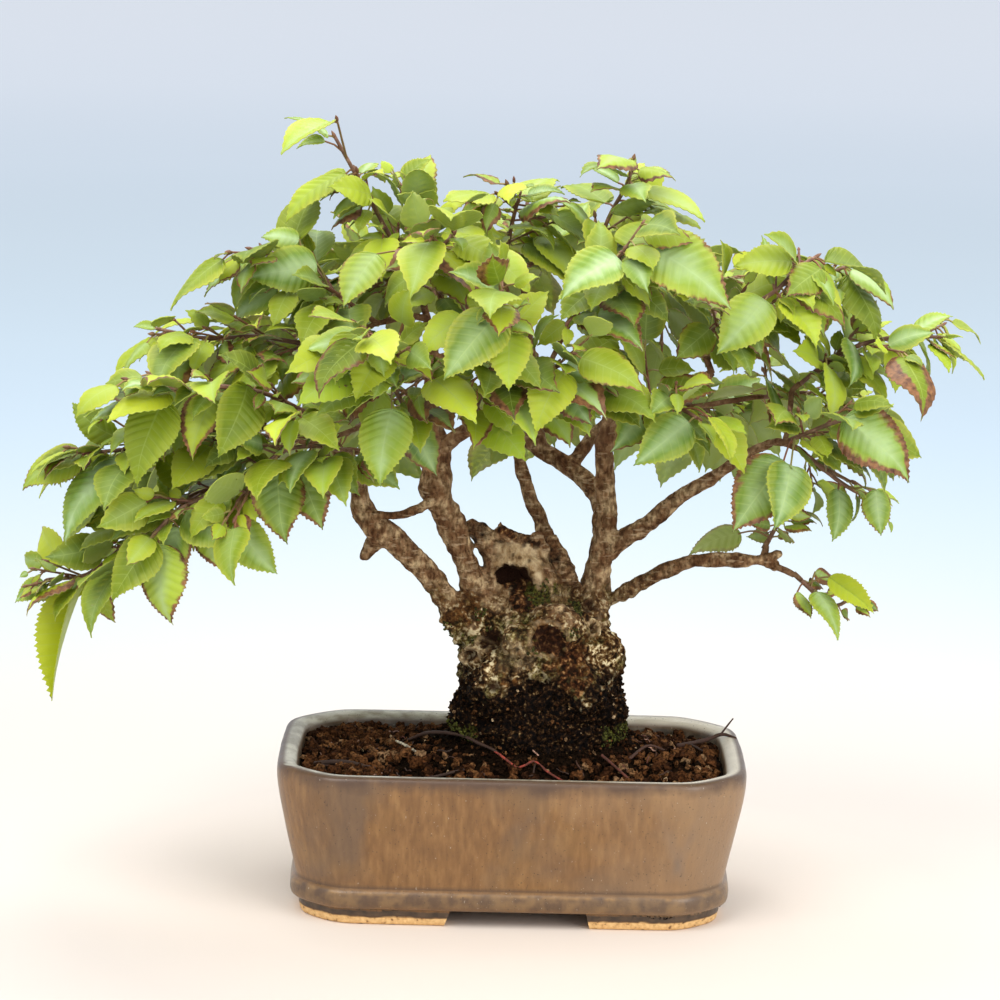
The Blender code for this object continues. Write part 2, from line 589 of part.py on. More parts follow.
def leaf_fits(space, owner, leaf):
    """The whole leaf clears all but its own twigs, and its blade clears those too."""
    if leaf["steepness"] > 0.75 or leaf["doubling"] > 0.3:
        return False
    verts, faces = blade_solid(leaf, BLADE_THICKNESS / 2 + BLADE_CLEAR, BLADE_CLEAR)
    if not space.clear(owner, verts, faces, ignore=("twig",)):
        return False
    blade = dict(leaf, root=leaf["root"].lerp(leaf["base"], 0.9))
    verts, faces = blade_solid(blade, BLADE_THICKNESS / 2 + 0.1, 0.1)
    return space.clear(owner, verts, faces)


def keep_leaf(space, spray, leaf):
    """Keeps a leaf; its root is set off a hair, so that no two roots have an edge in common."""
    turn = len(spray["leaves"])
    hair = Vector((math.sin(2.4 * turn), math.cos(1.7 * turn), math.sin(3.1 * turn + 1.0)))
    leaf["root"] = leaf["root"] + hair * ROOT_OFFSET
    verts, faces = blade_solid(leaf, BLADE_THICKNESS / 2)
    space.add(spray["name"], "leaf", verts, faces)
    spray["leaves"].append(leaf)


def petiole_roots(route, base, tip):
    """Where on the twig a leaf's petiole can start: the best place and two beside it."""
    ahead = (tip - base).normalized()

    def cost(point):
        run = base - point
        return run.length + 14 * max(0.0, 0.4 - run.normalized().dot(ahead))

    spots = [nearest_on(route, base)] + [along(route, 0.04 + 0.92 * k / 14)[0] for k in range(15)]
    chosen = []
    for spot in sorted(spots, key=cost):
        if all((spot - other).length > PETIOLE_SPACING for other in chosen):
            chosen.append(spot)
    return chosen[:3]


def lead_leaf(space, spray, base, tip):
    """One leading leaf, pushed out or swung a little until it clears its neighbours."""
    away = outward(base)
    tries = product((0, 2, 4, 6, 9, 12), range(3), (0, -15, 15, -30, 30), (0.0, 0.6, -0.6))
    for push, choice, swing, tilt in tries:
        low = base + away * push + Vector((0, -0.4 * push, 0))
        run = tip - base
        run.rotate(Quaternion(away, math.radians(swing)))
        roots = petiole_roots(spray["route"], low, low + run)
        root = roots[min(choice, len(roots) - 1)]
        if (low - root).length < PETIOLE_LENGTH:
            low = root + run.normalized() * PETIOLE_LENGTH
        facing = away * 0.7 + UP * 0.45 + Vector((0, -0.35, 0))
        facing += run.cross(away).normalized() * tilt
        leaf = make_leaf(root, low, low + run, facing, True)
        if leaf_fits(space, spray["name"], leaf):
            keep_leaf(space, spray, leaf)
            return


def side_twigs(space, spray, rng):
    """Side twigs, left and right in turn along the main twig."""
    route = spray["route"]
    count = max(2, round(route_length(route) / 20))
    for k in range(count):
        place, ahead = along(route, (k + 0.55) / count)
        side = ahead.cross(UP).normalized() * (1 if k % 2 else -1)
        for tries in range(6):
            aim = (ahead * 0.7 + side * rng.uniform(0.6, 1.0) + UP * rng.uniform(-0.3, 0.35))
            length = rng.uniform(15, 24) * (1 - 0.08 * tries)
            aim = aim.normalized() * length
            twig = [place, place + aim]
            radii = SIDE_TWIG_RADII
            if space.clear(spray["name"], *tube_hull(twig, radii, BLADE_CLEAR), ("twig",)):
                space.add(spray["name"], "twig", *tube_hull(twig, radii, 0))
                spray["sides"].append((twig, radii))
                break


def leaf_stations(spray):
    """Where fill leaves grow: tips first, then along the side twigs and the main twig."""
    stations = []
    for twig, _ in spray["sides"]:
        stations.append((*along(twig, 1.0), 0))
    stations.append((*along(spray["route"], 1.0), 0))
    for twig, _ in spray["sides"]:
        stations.append((*along(twig, 0.55), 1))
    count = max(2, round(route_length(spray["route"]) / 14))
    for k in range(count):
        stations.append((*along(spray["route"], (k + 0.7) / (count + 0.4)), 1 if k % 2 else -1))
    return stations


def fill_leaf(place, ahead, hand, rng):
    away = outward(place)
    side = ahead.cross(UP).normalized()
    level = Vector((away.x, away.y, 0))
    turn = hand * rng.uniform(0.5, 1.0) if hand else rng.uniform(-0.4, 0.4)
    aim = (ahead * rng.uniform(0.4, 0.9) + side * turn + level * rng.uniform(0.1, 0.6)
           - UP * rng.uniform(0.25, 1.0)).normalized()
    length = rng.uniform(23, 33)
    base = place + aim * rng.uniform(3.0, 5.0)
    facing = away + UP * rng.uniform(0.2, 0.8) + side * rng.uniform(-0.4, 0.4)
    root = place - ahead * (0 if hand else ROOT_SINK)
    return make_leaf(root, base, base + aim * length, facing, False)


def fill_leaves(space, spray, rng, limit):
    kept = 0
    for place, ahead, hand in leaf_stations(spray):
        if kept == limit:
            break
        for _ in range(10):
            leaf = fill_leaf(place, ahead, hand, rng)
            if leaf_fits(space, spray["name"], leaf):
                keep_leaf(space, spray, leaf)
                kept += 1
                break


def scaffold_points():
    """Points on the wood that a branch can grow from, with the way along the wood so far."""
    points = []
    starts = {"left_low_tip": 150, "left_loop": 120, "left_main_up": 100, "left_main_front": 100,
              "middle_up": 70, "right_main_up": 95, "right_main_side": 90,
              "right_high_tip": 120, "right_low_tip": 110, "rear_left": 80, "rear_right": 80,
              "rear_up": 80}
    for name, way in starts.items():
        route = [Vector(point[:3]) for point in BRANCHES[name]]
        radii = [point[3] for point in BRANCHES[name]]
        length = route_length(route)
        for k in range(7):
            place, ahead = along(route, k / 6)
            radius = radii[0] + (radii[-1] - radii[0]) * k / 6
            points.append((place, ahead, way + length * k / 6, radius))
    return points


def branch_to(root, ahead, points):
    """A curved branch from the best point on the wood to the start of a spray."""
    def cost(point):
        run = root - point[0]
        back = max(0.0, -run.dot(ahead))
        return run.length + 0.15 * point[2] + 2.0 * back + 0.8 * max(0.0, -run.z)

    place, along_wood, way, radius = min(points, key=cost)
    run = root - place
    lean = (along_wood * 0.4 + run.normalized() + UP * 0.15).normalized()
    first = place + lean * run.length * 0.35
    second = root - ahead * run.length * 0.33
    route = []
    for share in (0.0, 0.3, 0.65):
        back = 1 - share
        route.append(place * back ** 3 + first * 3 * share * back ** 2
                     + second * 3 * share ** 2 * back + root * share ** 3)
    route += [root - ahead * 4.0, root.copy()]
    start = min(radius * 0.85, 2.2)
    radii = [start + (BRANCH_END_RADIUS - start) * k / 4 for k in range(5)]
    for k in range(1, 4):
        points.append((route[k], (route[k + 1] - route[k]).normalized(),
                       way + run.length * k / 4, radii[k]))
    return route, radii


def plan_tree():
    """The whole tree as data: wood tubes, sprays, side twigs and leaves."""
    space = Space()
    points = scaffold_points()
    sprays, branches = [], []
    for name, stops, leaders in SPRAYS:
        route = [Vector(stop) for stop in stops]
        sprays.append({"name": name, "route": route, "sides": [], "leaves": [],
                       "leaders": leaders})
    order = sorted(sprays, key=lambda spray: min((spray["route"][0] - point[0]).length
                                                 for point in points))
    for spray in order:
        root = spray["route"][0]
        ahead = (spray["route"][1] - root).normalized()
        branches.append(branch_to(root, ahead, points))
        spray["route"][0] = root + ahead * FIT
    for name, wood in list(LIMBS.items()) + list(BRANCHES.items()):
        route = [Vector(point[:3]) for point in wood]
        space.add(name, "wood", *tube_hull(route, [point[3] for point in wood], 1.0))
    for route, radii in branches:
        space.add("branch", "wood", *tube_hull(route[:-1], radii, 0.4))
    for spray in sprays:
        count = len(spray["route"])
        spray["radii"] = [TWIG_RADII[0] + (TWIG_RADII[1] - TWIG_RADII[0]) * k / (count - 1)
                          for k in range(count)]
        hull = tube_hull(spray["route"], spray["radii"], BLADE_CLEAR)
        space.add(spray["name"], "twig", *hull)
    for spray in sprays:
        for base, tip in spray["leaders"]:
            lead_leaf(space, spray, Vector(base), Vector(tip))
    for number, spray in enumerate(sprays):
        if spray["name"] in SPARSE_SPRAYS:
            continue
        rng = random.Random(SEED * 1000 + number)
        side_twigs(space, spray, rng)
        limit = max(LEAST_FILL_LEAVES, LEAVES_PER_SPRAY - len(spray["leaders"]))
        fill_leaves(space, spray, rng, limit)
    return sprays, branches


# Trunk

def wood_bmesh():
    """The stump's masses and the heavy limbs as overlapping closed shapes."""
    shape = bmesh.new()
    for middle, halves in STUMP_MASSES:
        made = bmesh.ops.create_uvsphere(shape, u_segments=20, v_segments=12, radius=MM)
        bmesh.ops.scale(shape, verts=made["verts"], vec=halves)
        bmesh.ops.translate(shape, verts=made["verts"], vec=Vector(middle) * MM)
    made = bmesh.ops.create_cone(shape, cap_ends=True, segments=28, radius1=MM, radius2=MM,
                                 depth=(STUMP_TOP - STUMP_BOTTOM) * MM)
    bmesh.ops.scale(shape, verts=made["verts"], vec=(STUMP_HALF_WIDTH, STUMP_HALF_DEPTH, 1))
    bmesh.ops.translate(shape, verts=made["verts"],
                        vec=Vector((STUMP_X, STUMP_Y, (STUMP_TOP + STUMP_BOTTOM) / 2 - 3)) * MM)
    return shape


def roughen(mesh):
    """Bark relief and the stump's hollows, by moving points along their normals."""
    shape = bmesh.new()
    shape.from_mesh(mesh)
    shape.normal_update()
    moves = []
    for vert in shape.verts:
        place = vert.co / MM
        depth = 0.9 * noise.noise(place / 9.0) + 0.5 * noise.noise(place / 4.0)
        for middle, reach, sink in HOLLOWS:
            near = (place - Vector(middle)).length / reach
            depth -= sink * max(0.0, 1.0 - near * near)
        moves.append((vert, vert.normal * depth * MM))
    for vert, move in moves:
        vert.co += move
    shape.to_mesh(mesh)
    shape.free()


def keep_largest_body(mesh):
    """Drops loose scraps, so that one closed body is left."""
    shape = bmesh.new()
    shape.from_mesh(mesh)
    unseen = set(shape.verts)
    bodies = []
    while unseen:
        stack = [unseen.pop()]
        body = list(stack)
        while stack:
            for edge in stack.pop().link_edges:
                for vert in edge.verts:
                    if vert in unseen:
                        unseen.remove(vert)
                        stack.append(vert)
                        body.append(vert)
        bodies.append(body)
    bodies.sort(key=len)
    for body in bodies[:-1]:
        bmesh.ops.delete(shape, geom=body, context='VERTS')
    shape.to_mesh(mesh)
    shape.free()


def cut_flat(mesh, height):
    """Cuts the mesh level at a height and closes it with a flat bottom."""
    shape = bmesh.new()
    shape.from_mesh(mesh)
    geometry = shape.verts[:] + shape.edges[:] + shape.faces[:]
    bmesh.ops.bisect_plane(shape, geom=geometry, plane_co=UP * height * MM, plane_no=-UP,
                           clear_outer=True)
    border = [edge for edge in shape.edges if edge.is_boundary]
    bmesh.ops.holes_fill(shape, edges=border)
    bmesh.ops.recalc_face_normals(shape, faces=shape.faces)
    shape.to_mesh(mesh)
    shape.free()


def make_trunk(parts, work, branches, look):
    shape = wood_bmesh()
    for name, wood in LIMBS.items():
        limb = tube(name, [point[:3] for point in wood], [point[3] for point in wood], work, 3)
        shape.from_mesh(limb.data)
        bpy.data.objects.remove(limb)
    trunk = add_object("trunk", mesh_from_bmesh("trunk", shape), parts)
    remesh = trunk.modifiers.new("one_skin", 'REMESH')
    remesh.mode = 'VOXEL'
    remesh.voxel_size = 1.6 * MM
    smooth = trunk.modifiers.new("soft", 'SMOOTH')
    smooth.iterations = 3
    bpy.context.view_layer.update()
    apply_modifiers(trunk)
    roughen(trunk.data)
    thin = trunk.modifiers.new("fewer_faces", 'DECIMATE')
    thin.ratio = CORE_FACES / (2 * len(trunk.data.polygons))
    bpy.context.view_layer.update()
    apply_modifiers(trunk)
    keep_largest_body(trunk.data)
    cut_flat(trunk.data, STUMP_BOTTOM)
    for name, wood in BRANCHES.items():
        tube(name, [point[:3] for point in wood], [point[3] for point in wood], work, 1)
    for number, (route, radii) in enumerate(branches):
        tube("branch_%d" % number, route, radii, work, 0)
    boolean(trunk, 'UNION', group=work)
    bpy.context.view_layer.update()
    apply_modifiers(trunk)
    remove_all(work.objects)
    keep_largest_body(trunk.data)
    trunk.data.materials.clear()
    trunk.data.materials.append(look)
    return trunk


def make_spray(spray, parts, work, look):
    """One leafy spray: main twig, side twigs and leaves joined into one body."""
    whole = tube(spray["name"], spray["route"], spray["radii"], parts, 0)
    for number, (route, radii) in enumerate(spray["sides"]):
        tube("side_%d" % number, route, radii, work, 0)
    for number, leaf in enumerate(spray["leaves"]):
        verts, faces = blade_solid(leaf, BLADE_THICKNESS / 2)
        mesh = bpy.data.meshes.new("leaf_%d" % number)
        mesh.from_pydata([vert * MM for vert in verts], [], faces)
        shape = bmesh.new()
        shape.from_mesh(mesh)
        add_object("leaf_%d" % number, mesh_from_bmesh("leaf_%d" % number, shape), work)
    boolean(whole, 'UNION', group=work)
    bpy.context.view_layer.update()
    apply_modifiers(whole)
    remove_all(work.objects)
    keep_largest_body(whole.data)
    whole.name = "spray_" + spray["name"]
    whole.data.materials.clear()
    whole.data.materials.append(look)
    return whole


def stand_on_origin(parts, cutters):
    """Shifts everything by one parent, so the origin lies under the middle of the box."""
    bpy.context.view_layer.update()
    depsgraph = bpy.context.evaluated_depsgraph_get()
    low, high = Vector((1, 1, 1)), Vector((-1, -1, -1))
    for item in parts.objects:
        for vert in item.evaluated_get(depsgraph).data.vertices:
            for i in range(3):
                low[i] = min(low[i], vert.co[i])
                high[i] = max(high[i], vert.co[i])
    middle = (low + high) / 2
    frame = bpy.data.objects.new("bonsai_frame", None)
    parts.objects.link(frame)
    frame.location = (-middle.x, -middle.y, -low.z)
    for item in list(parts.objects) + list(cutters.objects):
        if item != frame:
            item.parent = frame


def main():
    clear_scene()
    parts, cutters, work = collection("bonsai"), collection("cutters"), collection("work")
    glaze = material("pot_glaze", (0.20, 0.13, 0.075), 0.38)
    earth = material("soil", (0.09, 0.045, 0.02), 0.95)
    net = material("drain_net", (0.03, 0.03, 0.03), 0.6)
    bark = material("bark", (0.25, 0.18, 0.12), 0.9)
    leaf_green = material("leaf", (0.12, 0.28, 0.03), 0.5)
    make_pot(parts, cutters, glaze)
    make_net("drain_net_left", -DRAIN_X, parts, net)
    make_net("drain_net_right", DRAIN_X, parts, net)
    make_soil(parts, cutters, earth)
    sprays, branches = plan_tree()
    make_trunk(parts, work, branches, bark)
    for spray in sprays:
        make_spray(spray, parts, work, leaf_green)
    stand_on_origin(parts, cutters)
    bpy.context.view_layer.update()


main()
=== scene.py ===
"""Looks of the Korean hornbeam bonsai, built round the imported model.

The tables are in millimetres, from the middle of the pot's foot, as in the part's source. The
plan of twigs and leaves is the source's own, so each fine leaf lies where the solid one does;
more leaves, veins, bark, soil grains, roots and moss are added here.
"""
import json
import math
import random
from itertools import product

import bmesh
import bpy
import numpy as np
from mathutils import Matrix, Quaternion, Vector, noise
from mathutils.bvhtree import BVHTree

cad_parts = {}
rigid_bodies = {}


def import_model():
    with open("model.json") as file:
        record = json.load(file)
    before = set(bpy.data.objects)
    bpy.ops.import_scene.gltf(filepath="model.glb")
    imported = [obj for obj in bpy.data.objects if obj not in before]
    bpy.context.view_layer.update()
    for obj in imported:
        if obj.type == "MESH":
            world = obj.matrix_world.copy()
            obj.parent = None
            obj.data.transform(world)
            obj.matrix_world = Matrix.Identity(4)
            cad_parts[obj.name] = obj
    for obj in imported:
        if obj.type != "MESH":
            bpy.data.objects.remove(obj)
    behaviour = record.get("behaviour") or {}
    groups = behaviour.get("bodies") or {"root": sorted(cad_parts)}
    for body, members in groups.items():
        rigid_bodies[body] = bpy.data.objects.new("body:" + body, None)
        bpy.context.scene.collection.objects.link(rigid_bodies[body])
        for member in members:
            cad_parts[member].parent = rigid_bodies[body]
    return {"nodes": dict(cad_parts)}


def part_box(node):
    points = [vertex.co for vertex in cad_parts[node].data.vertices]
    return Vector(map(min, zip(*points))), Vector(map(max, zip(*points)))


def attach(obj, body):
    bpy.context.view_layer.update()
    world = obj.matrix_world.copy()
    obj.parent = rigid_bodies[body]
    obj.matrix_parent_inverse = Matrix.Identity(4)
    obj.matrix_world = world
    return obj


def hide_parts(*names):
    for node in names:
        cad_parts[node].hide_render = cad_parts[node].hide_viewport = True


for item in list(bpy.data.objects):
    bpy.data.objects.remove(item)
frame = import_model()
bpy.context.view_layer.update()
POT_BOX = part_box("pot")
# The middle of the pot's foot in the row's frame
SHIFT = Vector(((POT_BOX[0].x + POT_BOX[1].x) / 2, (POT_BOX[0].y + POT_BOX[1].y) / 2, 0))

MM = 0.001
# Seeds of the random draws: the plan and the sprays, then the parts in the order they are made
SEED = 7
SPRAY_SEED = 4000
GRAIN_SEED, ROOT_SEED, MOSS_SEED, CRUMB_SEED = 11, 12, 13, 14
UP = Vector((0, 0, 1))
# The gap between parts that are seated in each other
FIT = 0.3

# Pot: the rim's outline and the height drive the rest
POT_HALF_WIDTH = 100.0
POT_HALF_DEPTH = 61.0
POT_HEIGHT = 66.0
CORNER_CUT_X = 25.0
CORNER_CUT_Y = 22.0
CORNER_SOFT = 5.0
SIDE_BOW = 1.6
FOOT_HEIGHT = 7.3
FLOOR_TOP = 13.0
FLOOR_INSET = 16.0
# Steps of the solid pot's inner wall: height, and how far it lies inside the rim's outline
POT_INSIDE = [(POT_HEIGHT, 6.0), (64.2, 8.2), (FLOOR_TOP + 1.0, 15.4),
              (FLOOR_TOP, FLOOR_INSET + 1.0)]
FOOT_RING_INSET = 19.0
# The gaps between the feet, at the belt and at the ground
FRONT_GAP_TOP = (-24.5, 32.5)
FRONT_GAP_BOTTOM = (-27.5, 34.5)
SIDE_GAP_TOP = (-13.0, 13.0)
SIDE_GAP_BOTTOM = (-15.0, 15.0)
DRAIN_RADIUS = 7.0
DRAIN_X = 46.0

# Soil, which lies on the drain nets
NET_THICKNESS = 1.2
SOIL_EDGE = 60.5
SOIL_MOUND = 13.0
STUMP_X = 11.5
STUMP_Y = -2.0
STUMP_HALF_WIDTH = 37.0
STUMP_HALF_DEPTH = 30.5
STUMP_BOTTOM = 52.0
STUMP_TOP = 84.0

# Leaves and twigs
BLADE_THICKNESS = 0.6
BLADE_CLEAR = 0.4
PETIOLE_HALF_WIDTH = 0.45
PETIOLE_LENGTH = 3.5
PETIOLE_SPACING = 2.5
LEAF_WIDTH_RATIO = 0.68
TWIG_RADII = (1.3, 0.95)
SIDE_TWIG_RADII = (0.95, 0.85)
ROOT_SINK = 1.0
ROOT_OFFSET = 0.12
BRANCH_END_RADIUS = 1.3
LEAVES_PER_SPRAY = 6
LEAST_FILL_LEAVES = 2
FILL_TRIES = 10
TWIG_TRIES = 6
# Half a leaf's outline: share of its length, share of its greatest half width
LEADING_OUTLINE = [(0.12, 0.80), (0.40, 1.0), (0.47, 0.86), (0.70, 0.66)]
FILL_OUTLINE = [(0.10, 0.74), (0.42, 1.0), (0.50, 0.80)]
# Sprays that carry no more than their leading leaves
SPARSE_SPRAYS = ("right_low", "right_low_up")
# The crown is close to half an ellipsoid: its middle and half axes
CROWN_MIDDLE = Vector((-5, 0, 170))
CROWN_HALF = Vector((205, 110, 150))

# Round masses of the stump: middle and half axes
STUMP_MASSES = [((11.5, -2, 92), (35.5, 29, 46)), ((38, -4, 106), (11, 14, 15)),
                ((-11, -5, 110), (13, 14, 14)), ((36, -6, 83), (13, 16, 14)),
                ((-15, -9, 82), (13, 14, 13)), ((8, -22, 78), (18, 11, 16)),
                ((27, -21, 94), (13, 10, 14)), ((-7, -22, 96), (12, 10, 13)),
                ((3, -27, 118), (8, 6, 8)), ((18, -20, 122), (12, 9, 11)),
                ((9, 20, 86), (19, 12, 18)), ((27, 17, 104), (13, 11, 13)),
                ((-8, 16, 102), (12, 11, 13)), ((30, 2, 122), (13, 13, 12)),
                ((-8, -1, 124), (12, 12, 12))]
# Heavy wood: routes of x, y, z and radius
LIMBS = {
    "dead_stub": [(13, 0, 116, 17), (8, -1, 134, 15), (1, -2, 148, 11.5), (-2, -2, 156, 8)],
    "dead_arm": [(-3, -2, 148, 7), (-13, -1, 156, 4.6), (-21, 0, 163, 3.2)],
    "dead_peg": [(4, -3, 146, 6), (8, -5, 155, 3.6), (9, -6, 160, 2.6)],
    "left_low": [(-12, -5, 110, 9), (-24, -8, 122, 6.6), (-29, -10, 132, 5.4),
                 (-39, -12, 145, 5.0), (-51, -14, 157, 5.2), (-60, -16, 164, 6.0),
                 (-66, -16, 173, 4.6), (-67, -18, 183, 3.6), (-72, -20, 195, 3.0)],
    "left_low_stub": [(-58, -14, 160, 4), (-62, -12, 154, 3.2), (-65, -10, 149, 2.4)],
    "left_main": [(-2, -2, 116, 10), (-14, -5, 130, 7), (-19, -8, 142, 5.4), (-23, -8, 151, 4.9),
                  (-28, -8, 161, 4.7), (-32, -8, 171, 5.0), (-35, -8, 180, 7.6),
                  (-34, -6, 190, 5.4), (-33, -4, 199, 4.6)],
    "left_main_stub": [(-33, -4, 197, 4), (-39, -5, 200, 3.4), (-45, -6, 201, 2.6)],
    "middle": [(17, 8, 128, 7), (18, 14, 144, 4.2), (13, 16, 154, 3.6), (10, 18, 162, 3.2),
               (5, 20, 172, 3.0), (2, 22, 183, 2.9)],
    "right_main": [(33, 4, 118, 10), (34, 6, 132, 7.4), (35, 6, 142, 5.6), (37, 6, 154, 4.8),
                   (38, 6, 167, 4.6), (37, 6, 182, 4.2), (36, 6, 200, 3.8)],
    "right_high": [(36, 6, 149, 5), (44, 4, 156, 4.2), (52, 1, 162, 3.9), (60, -3, 169, 3.6),
                   (66, -6, 176, 3.4), (73, -8, 181, 3.2), (82, -10, 187, 2.9)],
    "right_low": [(30, 4, 114, 7), (39, 4, 127, 3.6), (49, 0, 136, 3.0), (59, -4, 143, 2.9),
                  (72, -6, 149, 3.1), (85, -8, 151, 3.2), (96, -8, 151, 2.9), (104, -8, 152, 2.6)],
    "rear": [(36, 8, 146, 5.6), (38, 22, 158, 4.8), (34, 38, 171, 4.4), (21, 48, 181, 4.1),
             (8, 52, 188, 3.8)],
}
# Lighter wood, joined on as plain tapered tubes
BRANCHES = {
    "left_low_tip": [(-71, -20, 192, 3.0), (-82, -24, 203, 2.4), (-94, -28, 205, 2.0)],
    "left_loop": [(-33, -12, 177, 2.4), (-46, -21, 171, 2.1), (-60, -21, 170, 2.0),
                  (-68, -17, 174, 1.8)],
    "left_main_up": [(-33, -4, 196, 3.4), (-38, -4, 220, 2.8), (-37, 0, 236, 2.4), (-40, 4, 250, 2.0)],
    "left_main_front": [(-33, -4, 196, 3.6), (-21, -14, 206, 3.0), (-6, -27, 212, 2.5),
                        (2, -36, 218, 2.0)],
    "middle_up": [(2, 22, 180, 2.8), (-1, 24, 200, 2.5), (-4, 22, 224, 2.2), (-2, 18, 244, 1.9)],
    "right_main_up": [(36, 6, 197, 3.4), (40, 8, 220, 2.8), (39, 8, 238, 2.3), (36, 6, 252, 2.0)],
    "right_main_side": [(36, 6, 193, 3.2), (43, 1, 208, 2.8), (55, -5, 217, 2.5),
                        (70, -10, 224, 2.1), (80, -12, 232, 1.8)],
    "right_high_tip": [(80, -10, 185, 2.7), (94, -14, 197, 2.2), (106, -18, 204, 1.8)],
    "right_low_stub": [(100, -8, 151.5, 2.4), (106, -9, 153, 2.2), (112, -9, 155, 1.8)],
    "right_low_tip": [(100, -8, 151.5, 2.4), (106, -8.5, 151, 2.2), (111, -9.5, 149, 2.0)],
    "rear_left": [(10, 51, 187, 3.2), (-14, 58, 199, 2.6), (-40, 56, 210, 2.0)],
    "rear_right": [(23, 47, 180, 3.2), (36, 54, 197, 2.6), (52, 50, 208, 2.0)],
    "rear_up": [(10, 51, 187, 3.2), (6, 52, 210, 2.5), (4, 46, 236, 2.0)],
}

